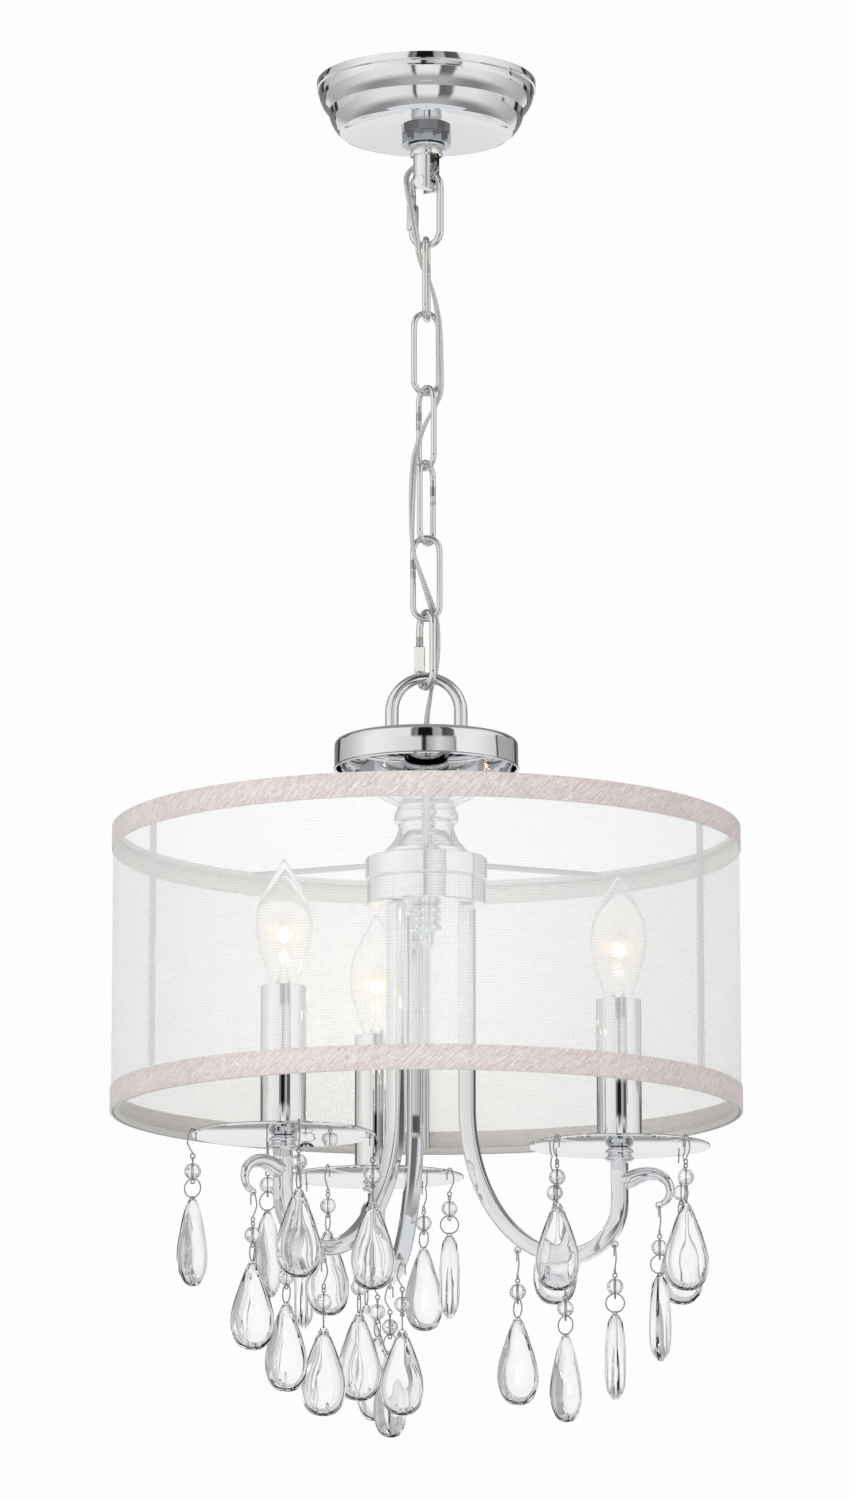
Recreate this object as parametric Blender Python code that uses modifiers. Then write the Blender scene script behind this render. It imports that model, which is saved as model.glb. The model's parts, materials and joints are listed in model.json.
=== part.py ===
"""Drum chandelier: a ceiling canopy, a chain, and a drum shade over three crystal-hung arms.

Metres, +Z up. The origin is on the lamp's axis, in the plane of the ceiling, and +Y points
away from the viewer. Heights are worked out downwards, from the ceiling to the crystals.
"""
import math

import bmesh
import bpy
from mathutils import Matrix, Vector

# Fits and mesh settings
GAP = 0.0003
OVERRUN = 0.003
WELD = 0.000002
MERGE = 0.00001

# Canopy and its crossbar
CANOPY_RADIUS = 0.0655
CANOPY_BAND = 0.0045
CANOPY_DEPTH = 0.0315
CANOPY_FACE_RADIUS = 0.0518
CANOPY_DISH_RISE = 0.0125
CANOPY_WALL = 0.001
CANOPY_NECK_LENGTH = 0.007
CANOPY_NECK_BORE = 0.0083
CANOPY_TIER_SHARES = ((0, 0), (0.1, 0.03), (0.2, 0.26), (0.58, 0.5), (0.61, 0.64), (0.72, 0.76),
                      (0.9, 0.85), (1, 1))
CROSSBAR_LENGTH = 0.104
CROSSBAR_WIDTH = 0.018
CROSSBAR_THICKNESS = 0.002
SCREW_SLOT_SPACING = 0.07
SCREW_SLOT_LENGTH = 0.016
SCREW_SLOT_WIDTH = 0.005

# Nipple, collar nut and canopy loop
NIPPLE_RADIUS = 0.00495
NIPPLE_BORE = 0.0032
NIPPLE_SHOWING = 0.0005
NUT_RADIUS = 0.0148
NUT_HEIGHT = 0.0131
NUT_SEAM_DEPTH = 0.0004
LOOP_NECK_RADIUS = 0.0079
LOOP_NECK_LENGTH = 0.0199
LOOP_SHOULDER_RADIUS = 0.0112
LOOP_SHOULDER_HEIGHT = 0.0038
LOOP_SEAT_RADIUS = 0.0099
LOOP_SEAT_HEIGHT = 0.0025
LOOP_EYE_RADIUS = 0.0078
LOOP_EYE_LENGTH = 0.021
LOOP_SLOT_WIDTH = 0.0095
LOOP_BAR_RADIUS = 0.00395
LOOP_BAR_INSET = 0.0005
LOOP_HEADING = -36.0

# Chain
LINK_LENGTH = 0.0527
LINK_WIDTH = 0.0191
LINK_WIRE = 0.0034
QUICK_LENGTH = 0.0492
QUICK_WIDTH = 0.0215
QUICK_WIRE = 0.0042
QUICK_MOUTH = 0.0055
SLEEVE_RADIUS = 0.00365
SLEEVE_LENGTH = 0.0158
SLEEVE_FOOT = 0.0014
TOP_LINK_HEADING = -18.0
LINK_HEADINGS = (84.0, 20.0, 124.0, 60.0, 176.0)
BOTTOM_LINK_HEADING = 117.0

# Loop and cap on top of the body
BODY_LOOP_WIDTH = 0.0485
BODY_LOOP_RISE = 0.0408
BODY_LOOP_LEG = 0.008
BODY_LOOP_CROWN = 0.0065
CAP_RADIUS = 0.0548
CAP_HEIGHT = 0.0179
CAP_WALL = 0.0012
CAP_LIP = 0.0008
CAP_CORNER = 0.0035
CAP_ROUNDING_SHARE = 0.3
CAP_HOLE = 0.0032

# Column, hub and finial
COLUMN_NECK_RADIUS = 0.013
COLUMN_DROP = 0.0307
COLUMN_RADIUS = 0.0289
COLUMN_HEIGHT = 0.038
COLUMN_SOCKET_DEPTH = 0.0085
COLUMN_SHARES = ((1, 0), (0.93, 0.07), (0.7, 0.16), (0.585, 0.24), (0.585, 0.29), (0.633, 0.35),
                 (0.633, 0.46), (0.567, 0.56), (0.6, 0.68), (0.72, 0.83), (0.845, 0.94), (0.845, 1))
HUB_RADIUS = 0.0356
HUB_BAND_HEIGHT = 0.013
HUB_STEP = 0.0008
HUB_HEIGHT = 0.028
FINIAL_RADIUS = 0.0086
FINIAL_BODY_HEIGHT = 0.017
FINIAL_TIP_RADIUS = 0.0045
FINIAL_TIP_HEIGHT = 0.0075
FINIAL_SHANK_RADIUS = 0.004
FINIAL_SHANK_LENGTH = 0.01
FINIAL_GROOVE = 0.0008

# Shade and its wire frame
SHADE_RADIUS = 0.184
SHADE_HEIGHT = 0.1685
SHADE_RISE = 0.018
TRIM_HEIGHT = 0.0142
TRIM_WALL = 0.0014
FABRIC_WALL = 0.001
FRAME_WIRE = 0.0036
FRAME_RING_INSET = 0.002
SPIDER_DISC_OVERHANG = 0.0035
SPIDER_DISC_THICKNESS = 0.0014
SPIDER_HEADINGS = (55.0, 125.0, 270.0)
STRUT_HEADINGS = (90.0, 210.0, 330.0)

# Arms
ARM_HEADINGS = (-15.0, 105.0, 225.0)
ARM_ROOT_RADIUS = 0.0245
ARM_BAR = 0.0088
ARM_CHAMFER = 0.0009
ARM_DROP = 0.119
ARM_SWEEP_REACH = 0.0607
ARM_SWEEP_DEPTH = 0.0885
ARM_UPTURN_RADIUS = 0.03
ARM_RING_RISE = 0.0235
ARM_RING_RADIUS = 0.0082
ARM_RING_HEIGHT = 0.0079
ARM_RING_GROOVE = 0.0012
ARM_TONGUE = 0.003
EYE_RADIUS = 0.00175
EYE_WIRE = 0.0015
EYE_STAND = 0.0018
SWEEP_EYE_ANGLES = (63.5, 88.0)
UPTURN_EYE_ANGLE = -42.0
SCROLL_DROP = 0.011
SCROLL_REACH = 0.0215
SCROLL_SAG = 0.008
SCROLL_INNER_RADIUS = 0.0072
SCROLL_STEADY_GROWTH = 0.0038
SCROLL_LATE_GROWTH = 0.0064
SCROLL_START_ANGLE = 152.7
SCROLL_END_ANGLE = -60.0
SCROLL_ROOT_DIAMETER = 0.01
SCROLL_TIP_DIAMETER = 0.0038
SCROLL_THINNING = 1.7
SCROLL_CURLING = 6
SCROLL_COLLAR_RADIUS = 0.00525
SCROLL_COLLAR_WIDTH = 0.0015

# Drip pans, candle sleeves, sockets and bulbs
PAN_RADIUS = 0.0523
PAN_WALL = 0.0017
PAN_HOLE_RADIUS = 0.0012
PAN_RIM_STRIP = 0.0008
PAN_HOOK_HEADINGS = (45.0, 57.0, 11.0)
HOOKS_PER_PAN = 4
SLEEVE_TUBE_RADIUS = 0.013
SLEEVE_TUBE_WALL = 0.0011
SLEEVE_TUBE_HEIGHT = 0.0838
SOCKET_STEM_RADIUS = 0.005
SOCKET_CUP_LENGTH = 0.0425
SOCKET_CUP_INSET = 0.0015
SOCKET_BORE_DEPTH = 0.024
SOCKET_CLEARANCE = 0.0006
BULB_RADIUS = 0.016
BULB_HEIGHT = 0.0752
BULB_BASE_RADIUS = 0.0067
BULB_BASE_TIP = 0.003
BULB_SHARES = ((0, 1), (0.16, 0.965), (0.4, 0.87), (0.66, 0.76), (0.9, 0.63), (1, 0.5), (0.95, 0.36),
               (0.72, 0.2), (0.46, 0))

# Crystal strands
HOOK_WIRE = 0.001
HOOK_TAIL = 0.0016
HOOK_STRAIGHTEN = 0.0045
BEAD_DROP = 0.0225
BEAD_DIAMETER = 0.0096
RING_DROP = 0.032
RING_DIAMETER = 0.0115
RING_WIRE = 0.0012
CRYSTAL_DROP = 0.0366
CRYSTAL_LENGTH = 0.051
CRYSTAL_WIDTH = 0.0255
CRYSTAL_THICKNESS = 0.012
CRYSTAL_SHARES = ((0, 0), (0.2, 0.02), (0.62, 0.3), (1, 0.66), (0.74, 0.9), (0, 1))
PAN_DROP_HEADINGS = ((15.0, 10.0, 0.0, 5.0), (30.0, 90.0, 15.0, 90.0), (0.0, 60.0, 60.0, 15.0))
ARM_DROP_HEADINGS = ((25.0, 50.0, 90.0, 80.0), (0.0, 45.0, 20.0, 10.0), (10.0, 0.0, 25.0, 20.0))

# Supply cord, laced down through the chain, from the nipple to the column
CORD_RADIUS = 0.002
CORD_POINTS = (
    (0.0, 0.0, -0.001), (0.0, 0.0, -0.02), (0.0, 0.0, -0.0455),
    (-0.0011, 0.0006, -0.0487), (-0.0042, 0.0022, -0.0508), (-0.0083, 0.0026, -0.0527),
    (-0.0117, 0.0002, -0.0585), (-0.0112, -0.0030, -0.067), (-0.0095, -0.0042, -0.0765),
    (-0.0075, -0.0045, -0.088), (-0.0052, -0.0055, -0.100), (-0.0043, -0.0040, -0.108),
    (-0.0015, -0.0005, -0.116), (0.0020, 0.0005, -0.123), (0.0050, -0.0010, -0.134),
    (0.0072, -0.0022, -0.147), (0.0079, -0.0024, -0.160), (0.0082, -0.0024, -0.172),
    (0.0086, -0.0020, -0.184), (0.0082, -0.0010, -0.1925), (0.0050, 0.0000, -0.200),
    (0.0012, 0.0002, -0.2065), (-0.0024, 0.0006, -0.2145), (-0.0052, 0.0005, -0.223),
    (-0.0072, 0.0005, -0.232), (-0.0082, 0.0005, -0.247), (-0.0085, 0.0000, -0.2625),
    (-0.0085, -0.0022, -0.278), (-0.0074, -0.0046, -0.289), (-0.0042, -0.0040, -0.300),
    (-0.0002, -0.0012, -0.311), (0.0030, 0.0020, -0.320), (0.0056, 0.0046, -0.3295),
    (0.0064, 0.0030, -0.341), (0.0062, 0.0024, -0.352), (0.0052, 0.0050, -0.3605),
    (0.0034, 0.0062, -0.368), (0.0022, 0.0048, -0.3755), (0.0006, 0.0018, -0.386),
    (0.0, 0.0, -0.396), (0.0, 0.0, -0.4045))

# Counts of sides
TURN_SIDES = 24
SHADE_SIDES = 36
HUB_SIDES = 20
SLIM_SIDES = 16
SMALL_SIDES = 12
BULB_SIDES = 10
TINY_SIDES = 8
CRYSTAL_SIDES = 6
BEND_STEPS = 6

# Heights that follow, from the ceiling down
NECK_BOTTOM = -(CANOPY_DEPTH - CANOPY_DISH_RISE + CANOPY_NECK_LENGTH)
NUT_TOP = NECK_BOTTOM - GAP
SHOULDER_TOP = NUT_TOP - NUT_HEIGHT - GAP
EYE_TOP = SHOULDER_TOP - LOOP_SHOULDER_HEIGHT - LOOP_SEAT_HEIGHT
BAR_HEIGHT = EYE_TOP - LOOP_EYE_LENGTH + LOOP_BAR_INSET + LOOP_BAR_RADIUS


def hang(pivot, half_wire, length, wire):
    """Height of the lower wire's centre of a link that hangs on a wire at pivot height."""
    return pivot + half_wire + GAP + wire - length + wire / 2


def chain_pivots():
    """Heights of the wires that each link hangs on, top to bottom, with the body's last."""
    heights = [BAR_HEIGHT]
    heights.append(hang(BAR_HEIGHT, LOOP_BAR_RADIUS, QUICK_LENGTH, QUICK_WIRE))
    half_wire = QUICK_WIRE / 2
    for _ in LINK_HEADINGS:
        heights.append(hang(heights[-1], half_wire, LINK_LENGTH, LINK_WIRE))
        half_wire = LINK_WIRE / 2
    heights.append(hang(heights[-1], half_wire, QUICK_LENGTH, QUICK_WIRE))
    return heights


PIVOTS = chain_pivots()
BODY_PIVOT = PIVOTS[-1]
BODY_LOOP_TOP = BODY_PIVOT + QUICK_WIRE / 2 + GAP + BODY_LOOP_CROWN
CAP_TOP = BODY_LOOP_TOP - BODY_LOOP_RISE
COLUMN_TOP = CAP_TOP - CAP_WALL - GAP
SAUCER_TOP = CAP_TOP - COLUMN_DROP
COLUMN_BOTTOM = SAUCER_TOP - COLUMN_HEIGHT
SPIDER_TOP = COLUMN_BOTTOM - GAP
HUB_TOP = SPIDER_TOP - SPIDER_DISC_THICKNESS - GAP
HUB_BOTTOM = HUB_TOP - HUB_HEIGHT
SHADE_TOP = HUB_TOP + SHADE_RISE
ARM_TOP = HUB_BOTTOM - GAP
SWEEP_TOP = ARM_TOP - ARM_DROP
UPTURN_HEIGHT = SWEEP_TOP - ARM_SWEEP_DEPTH + ARM_UPTURN_RADIUS
SWEEP_RADIUS = ARM_ROOT_RADIUS + ARM_SWEEP_REACH
CANDLE_RADIUS = SWEEP_RADIUS + ARM_UPTURN_RADIUS
RING_BOTTOM = UPTURN_HEIGHT + ARM_RING_RISE
RING_TOP = RING_BOTTOM + ARM_RING_HEIGHT
PAN_BOTTOM = RING_TOP + GAP
PAN_TOP = PAN_BOTTOM + PAN_WALL
SLEEVE_BOTTOM = PAN_TOP + GAP
SLEEVE_TOP = SLEEVE_BOTTOM + SLEEVE_TUBE_HEIGHT
CUP_TOP = SLEEVE_TOP - SOCKET_CUP_INSET
FRAME_RING_RADIUS = SHADE_RADIUS - TRIM_WALL - GAP - FRAME_WIRE / 2
BELL_RADIUS = COLUMN_RADIUS * COLUMN_SHARES[-1][0]
HOOK_RADIUS = EYE_RADIUS
PAN_HOOK_RADIUS = PAN_RADIUS - PAN_RIM_STRIP / 2
PAN_HOLE_PLACE = PAN_RADIUS - PAN_RIM_STRIP - PAN_HOLE_RADIUS


def clear_scene():
    """Remove the objects of the scene that the script starts in."""
    for item in list(bpy.data.objects):
        bpy.data.objects.remove(item, do_unlink=True)


def new_collection(name):
    """A collection of the scene by name."""
    group = bpy.data.collections.new(name)
    bpy.context.scene.collection.children.link(group)
    return group


clear_scene()
PARTS = new_collection("drum_chandelier")
CUTTERS = new_collection("cutters")


def material(name, colour, metallic=0.0, roughness=0.5, transmission=0.0):
    """A Principled material with the part's own colour."""
    made = bpy.data.materials.new(name)
    made.use_nodes = True
    shader = made.node_tree.nodes["Principled BSDF"]
    shader.inputs["Base Color"].default_value = (*colour, 1.0)
    shader.inputs["Metallic"].default_value = metallic
    shader.inputs["Roughness"].default_value = roughness
    shader.inputs["Transmission Weight"].default_value = transmission
    return made


def file_in(item, group):
    """Move an object into one collection."""
    for old in list(item.users_collection):
        old.objects.unlink(item)
    group.objects.link(item)
    return item


def mesh_object(name, mesh):
    """A new object of the lamp from a mesh."""
    item = bpy.data.objects.new(name, mesh)
    PARTS.objects.link(item)
    return item


def turned(name, outline, sides=TURN_SIDES, closed=False):
    """A body turned about Z from an outline of (radius, height), down its outer side."""
    count = len(outline)
    edges = [(index, index + 1) for index in range(count - 1)]
    if closed:
        edges.append((count - 1, 0))
    mesh = bpy.data.meshes.new(name)
    mesh.from_pydata([(radius, 0.0, height) for radius, height in outline], edges, [])
    item = mesh_object(name, mesh)
    screw = item.modifiers.new("turn", "SCREW")
    screw.steps = sides
    screw.render_steps = sides
    screw.use_merge_vertices = True
    screw.merge_threshold = MERGE
    screw.use_smooth_shade = True
    return item


def ring_outline(outer, inner, bottom, top):
    """The closed outline of a plain ring or tube."""
    return [(outer, top), (outer, bottom), (inner, bottom), (inner, top)]


def walled(item, wall):
    """Give a turned open surface a wall that grows inwards."""
    shell = item.modifiers.new("wall", "SOLIDIFY")
    shell.thickness = wall
    shell.offset = -1.0
    shell.use_even_offset = True
    return item


def wire(name, points, radius, closed=False, detail=1, radius_shares=None):
    """A round wire along a list of points."""
    curve = bpy.data.curves.new(name, "CURVE")
    curve.dimensions = "3D"
    curve.bevel_depth = radius
    curve.bevel_resolution = detail
    curve.use_fill_caps = not closed
    line = curve.splines.new("POLY")
    line.points.add(len(points) - 1)
    for index, (knot, place) in enumerate(zip(line.points, points)):
        knot.co = (*place, 1.0)
        if radius_shares:
            knot.radius = radius_shares[index]
    line.use_cyclic_u = closed
    item = bpy.data.objects.new(name, curve)
    PARTS.objects.link(item)
    return item


def flat_bar(name, outline, half_width, chamfer):
    """A flat outline in the XZ plane with a width along Y and chamfered edges."""
    curve = bpy.data.curves.new(name, "CURVE")
    curve.dimensions = "2D"
    curve.fill_mode = "BOTH"
    curve.extrude = half_width - chamfer
    curve.bevel_depth = chamfer
    curve.bevel_resolution = 0
    line = curve.splines.new("POLY")
    line.points.add(len(outline) - 1)
    for knot, (x, z) in zip(line.points, outline):
        knot.co = (x, z, 0.0, 1.0)
    line.use_cyclic_u = True
    item = bpy.data.objects.new(name, curve)
    item.rotation_euler = (math.radians(90), 0.0, 0.0)
    PARTS.objects.link(item)
    return item


def box(name, size, place, group=PARTS):
    """A box of a full size, centred on a place."""
    bpy.ops.mesh.primitive_cube_add(size=1.0, location=place)
    item = bpy.context.object
    item.name = name
    item.data.transform(Matrix.Diagonal((*size, 1.0)))
    return file_in(item, group)


def rod(name, radius, length, place, direction, sides=SMALL_SIDES, group=PARTS, spin=0.0):
    """A plain cylinder centred on a place and lying along a direction, spun about itself."""
    bpy.ops.mesh.primitive_cylinder_add(vertices=sides, radius=radius, depth=length)
    item = bpy.context.object
    item.name = name
    turn = Vector(direction).to_track_quat("Z", "Y").to_matrix().to_4x4()
    item.data.transform(Matrix.Translation(place) @ turn @ Matrix.Rotation(spin, 4, "Z"))
    return file_in(item, group)


def torus(name, radius, wire_diameter, place, heading, sides=CRYSTAL_SIDES, wire_sides=3):
    """An upright ring in the vertical plane of a heading."""
    bpy.ops.mesh.primitive_torus_add(major_radius=radius, minor_radius=wire_diameter / 2,
                                     major_segments=sides, minor_segments=wire_sides)
    item = bpy.context.object
    item.name = name
    upright = Matrix.Rotation(math.radians(90), 4, "X")
    item.data.transform(Matrix.Translation(place) @ Matrix.Rotation(heading, 4, "Z") @ upright)
    return file_in(item, PARTS)


def plain_mesh(item):
    """The evaluated mesh of an object in world space, with its caps welded."""
    bpy.context.view_layer.update()
    graph = bpy.context.evaluated_depsgraph_get()
    mesh = bpy.data.meshes.new_from_object(item.evaluated_get(graph))
    mesh.transform(item.matrix_world)
    if item.type == "CURVE":
        work = bmesh.new()
        work.from_mesh(mesh)
        bmesh.ops.remove_doubles(work, verts=work.verts, dist=WELD)
        work.to_mesh(mesh)
        work.free()
    return mesh


def combined(name, base, others, operation="UNION"):
    """One plain mesh object from a base and the solids that are joined to it or cut from it."""
    solid = mesh_object(name, plain_mesh(base))
    tools = []
    for index, other in enumerate(others):
        tool = mesh_object(f"{name}_tool_{index}", plain_mesh(other))
        step = solid.modifiers.new(f"{operation.lower()}_{index}", "BOOLEAN")
        step.operation = operation
        step.object = tool
        tools.append(tool)
    result = mesh_object(name, plain_mesh(solid))
    for item in [base, solid, *others, *tools]:
        bpy.data.objects.remove(item, do_unlink=True)
    result.name = name
    result.data.name = name
    return result


def smooth(item, sharp_angle=35.0):
    """Shade a plain mesh smooth, with its sharp edges kept."""
    item.data.shade_smooth()
    item.data.set_sharp_from_angle(angle=math.radians(sharp_angle))
    return item


def finish(item, look, parent=None):
    """Give an object its material and its parent."""
    item.data.materials.clear()
    item.data.materials.append(look)
    if parent:
        item.parent = parent
    return item


def holder(name, place=(0.0, 0.0, 0.0), heading=0.0, parent=None):
    """An empty that carries other objects."""
    item = bpy.data.objects.new(name, None)
    item.location = place
    item.rotation_euler = (0.0, 0.0, math.radians(heading))
    item.parent = parent
    item.empty_display_size = PAN_RADIUS
    PARTS.objects.link(item)
    return item


def polar(radius, degrees):
    """X and Y of a place at a radius and heading."""
    return (radius * math.cos(math.radians(degrees)), radius * math.sin(math.radians(degrees)))


CHROME = material("polished_chrome", (0.78, 0.78, 0.79), metallic=1.0, roughness=0.08)
SATIN = material("satin_nickel", (0.42, 0.43, 0.44), metallic=1.0, roughness=0.35)
BRASS = material("brass", (0.55, 0.38, 0.2), metallic=1.0, roughness=0.4)
STEEL = material("zinc_steel", (0.5, 0.5, 0.5), metallic=1.0, roughness=0.4)
ORGANZA = material("white_organza", (0.8, 0.8, 0.8), roughness=0.9, transmission=0.3)
PLASTIC = material("socket_plastic", (0.8, 0.79, 0.75), roughness=0.5)
GLASS = material("clear_glass", (0.95, 0.95, 0.95), roughness=0.02, transmission=1.0)
CRYSTAL = material("clear_crystal", (0.95, 0.96, 0.97), roughness=0.01, transmission=1.0)
CORD_SLEEVE = material("silver_cord", (0.72, 0.72, 0.7), roughness=0.4)


def make_canopy():
    """The tiered ceiling canopy, a shell with a dished face and a short neck."""
    tiers = []
    for across, down in CANOPY_TIER_SHARES:
        radius = CANOPY_RADIUS + (CANOPY_FACE_RADIUS - CANOPY_RADIUS) * across
        height = -CANOPY_BAND - (CANOPY_DEPTH - CANOPY_BAND) * down
        tiers.append((radius, height))
    neck_radius = CANOPY_NECK_BORE + CANOPY_WALL
    neck_top = -(CANOPY_DEPTH - CANOPY_DISH_RISE)
    outline = [(CANOPY_RADIUS, 0.0)] + tiers
    outline += [(neck_radius + CANOPY_WALL, neck_top), (neck_radius, neck_top - CANOPY_WALL)]
    outline += [(neck_radius, NECK_BOTTOM)]
    finish(walled(turned("canopy", outline), CANOPY_WALL), CHROME)


def make_crossbar():
    """The strap that is screwed to the ceiling box, with two slots and a centre hole."""
    strap = box("strap", (CROSSBAR_LENGTH, CROSSBAR_WIDTH, CROSSBAR_THICKNESS),
                (0.0, 0.0, -CROSSBAR_THICKNESS / 2))
    cuts = [rod("nipple_hole", NIPPLE_RADIUS + GAP, OVERRUN * 2, (0.0, 0.0, 0.0), (0, 0, 1), group=CUTTERS)]
    for side in (-1, 1):
        middle = side * SCREW_SLOT_SPACING / 2
        cuts.append(box("screw_slot", (SCREW_SLOT_LENGTH, SCREW_SLOT_WIDTH, OVERRUN * 2), (middle, 0.0, 0.0),
                        group=CUTTERS))
    finish(combined("crossbar", strap, cuts, "DIFFERENCE"), STEEL)


def make_nipple():
    """The threaded tube that carries the lamp and passes the cord."""
    outline = ring_outline(NIPPLE_RADIUS, NIPPLE_BORE, EYE_TOP - NIPPLE_SHOWING, -GAP)
    finish(turned("canopy_nipple", outline, SMALL_SIDES, closed=True), BRASS)


def make_collar_nut():
    """The faceted two-tier nut that holds the canopy up."""
    seam = NUT_TOP - NUT_HEIGHT / 2
    groove = NUT_RADIUS - NUT_SEAM_DEPTH
    outline = [(NUT_RADIUS, NUT_TOP), (NUT_RADIUS, seam + NUT_SEAM_DEPTH), (groove, seam),
               (NUT_RADIUS, seam - NUT_SEAM_DEPTH), (NUT_RADIUS, NUT_TOP - NUT_HEIGHT),
               (CANOPY_NECK_BORE, NUT_TOP - NUT_HEIGHT), (CANOPY_NECK_BORE, NUT_TOP)]
    nut = turned("collar_nut", outline, SMALL_SIDES, closed=True)
    nut.modifiers["turn"].use_smooth_shade = False
    finish(nut, SATIN)


def make_canopy_loop():
    """The loop under the canopy: a neck, a shoulder and a slotted eye with a round bar."""
    shoulder_bottom = SHOULDER_TOP - LOOP_SHOULDER_HEIGHT
    eye_bottom = EYE_TOP - LOOP_EYE_LENGTH
    bore = NIPPLE_RADIUS + GAP
    neck_top = SHOULDER_TOP + LOOP_NECK_LENGTH
    outline = [(bore, neck_top), (LOOP_NECK_RADIUS, neck_top), (LOOP_NECK_RADIUS, SHOULDER_TOP),
               (LOOP_SHOULDER_RADIUS, SHOULDER_TOP), (LOOP_SHOULDER_RADIUS, shoulder_bottom),
               (LOOP_SEAT_RADIUS, shoulder_bottom), (LOOP_SEAT_RADIUS, EYE_TOP), (LOOP_EYE_RADIUS, EYE_TOP),
               (LOOP_EYE_RADIUS, eye_bottom), (0.0, eye_bottom), (0.0, EYE_TOP - OVERRUN),
               (bore, EYE_TOP - OVERRUN)]
    body = turned("loop_body", outline, SMALL_SIDES, closed=True)
    slot = box("loop_slot", (OVERRUN * 2 + LOOP_SEAT_RADIUS * 2, LOOP_SLOT_WIDTH, LOOP_EYE_LENGTH + OVERRUN),
               (0.0, 0.0, EYE_TOP - (LOOP_EYE_LENGTH + OVERRUN) / 2), CUTTERS)
    fork = combined("loop_fork", body, [slot], "DIFFERENCE")
    bar = rod("loop_bar", LOOP_BAR_RADIUS, LOOP_EYE_RADIUS + LOOP_SLOT_WIDTH / 2, (0.0, 0.0, BAR_HEIGHT),
              (0, 1, 0))
    loop = smooth(combined("canopy_loop", fork, [bar]))
    loop.rotation_euler = (0.0, 0.0, math.radians(LOOP_HEADING))
    finish(loop, CHROME)


def oval(length, width, wire_diameter):
    """Centreline of an upright oval link about its own centre."""
    bend = (width - wire_diameter) / 2
    straight = length / 2 - width / 2
    top = []
    for step in range(BEND_STEPS + 1):
        angle = math.pi * step / BEND_STEPS
        top.append((bend * math.cos(angle), 0.0, straight + bend * math.sin(angle)))
    return top + [(-x, 0.0, -z) for x, _, z in top]


def link_place(upper_half_wire, length, wire_diameter):
    """Height of a link's centre over the wire that it hangs on."""
    return upper_half_wire + GAP + wire_diameter - length / 2


def make_link(name, pivot, upper_half_wire, heading):
    """One plain chain link, with its origin on the wire that it hangs on."""
    lift = link_place(upper_half_wire, LINK_LENGTH, LINK_WIRE)
    points = [(x, y, z + lift) for x, y, z in oval(LINK_LENGTH, LINK_WIDTH, LINK_WIRE)]
    link = wire(name, points, LINK_WIRE / 2, closed=True)
    link.location = (0.0, 0.0, pivot)
    link.rotation_euler = (0.0, 0.0, math.radians(heading))
    finish(link, CHROME)


def quick_oval(lift):
    """Centreline of a quick link, open at the mouth in its +X leg, and the sleeve's middle."""
    leg = (QUICK_WIDTH - QUICK_WIRE) / 2
    foot = lift - QUICK_LENGTH / 2 + QUICK_WIDTH / 2 + SLEEVE_FOOT
    sleeve_middle = foot + SLEEVE_LENGTH / 2
    mouth_top = (leg, 0.0, sleeve_middle + QUICK_MOUTH / 2)
    mouth_bottom = (leg, 0.0, sleeve_middle - QUICK_MOUTH / 2)
    around = [(x, y, z + lift) for x, y, z in oval(QUICK_LENGTH, QUICK_WIDTH, QUICK_WIRE)]
    return [mouth_top] + around + [mouth_bottom], Vector((leg, 0.0, sleeve_middle))


def make_top_quick_link():
    """The closed quick link on the canopy loop, with its sleeve screwed tight."""
    lift = link_place(LOOP_BAR_RADIUS, QUICK_LENGTH, QUICK_WIRE)
    points, middle = quick_oval(lift)
    closed_points = points[1:-1]
    body = wire("top_link_wire", closed_points, QUICK_WIRE / 2, closed=True)
    sleeve = rod("top_link_sleeve", SLEEVE_RADIUS, SLEEVE_LENGTH, middle, (0, 0, 1), CRYSTAL_SIDES)
    link = smooth(combined("quick_link_top", body, [sleeve]))
    link.location = (0.0, 0.0, PIVOTS[0])
    link.rotation_euler = (0.0, 0.0, math.radians(TOP_LINK_HEADING + 180))
    finish(link, CHROME)


def make_bottom_quick_link():
    """The quick link that carries the body, with a mouth in one leg and a sleeve that slides."""
    lift = link_place(LINK_WIRE / 2, QUICK_LENGTH, QUICK_WIRE)
    points, middle = quick_oval(lift)
    link = wire("quick_link_bottom", points, QUICK_WIRE / 2)
    link.location = (0.0, 0.0, PIVOTS[-2])
    link.rotation_euler = (0.0, 0.0, math.radians(BOTTOM_LINK_HEADING))
    finish(link, CHROME)
    outline = ring_outline(SLEEVE_RADIUS, QUICK_WIRE / 2 + GAP, -SLEEVE_LENGTH / 2, SLEEVE_LENGTH / 2)
    sleeve = turned("quick_link_sleeve", outline, SMALL_SIDES, closed=True)
    sleeve.location = middle
    finish(sleeve, CHROME, parent=link)


def make_chain():
    """Both quick links and the plain links between them."""
    make_top_quick_link()
    half_wire = QUICK_WIRE / 2
    for index, heading in enumerate(LINK_HEADINGS):
        make_link(f"chain_link_{index + 1}", PIVOTS[index + 1], half_wire, heading)
        half_wire = LINK_WIRE / 2
    make_bottom_quick_link()


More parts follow.
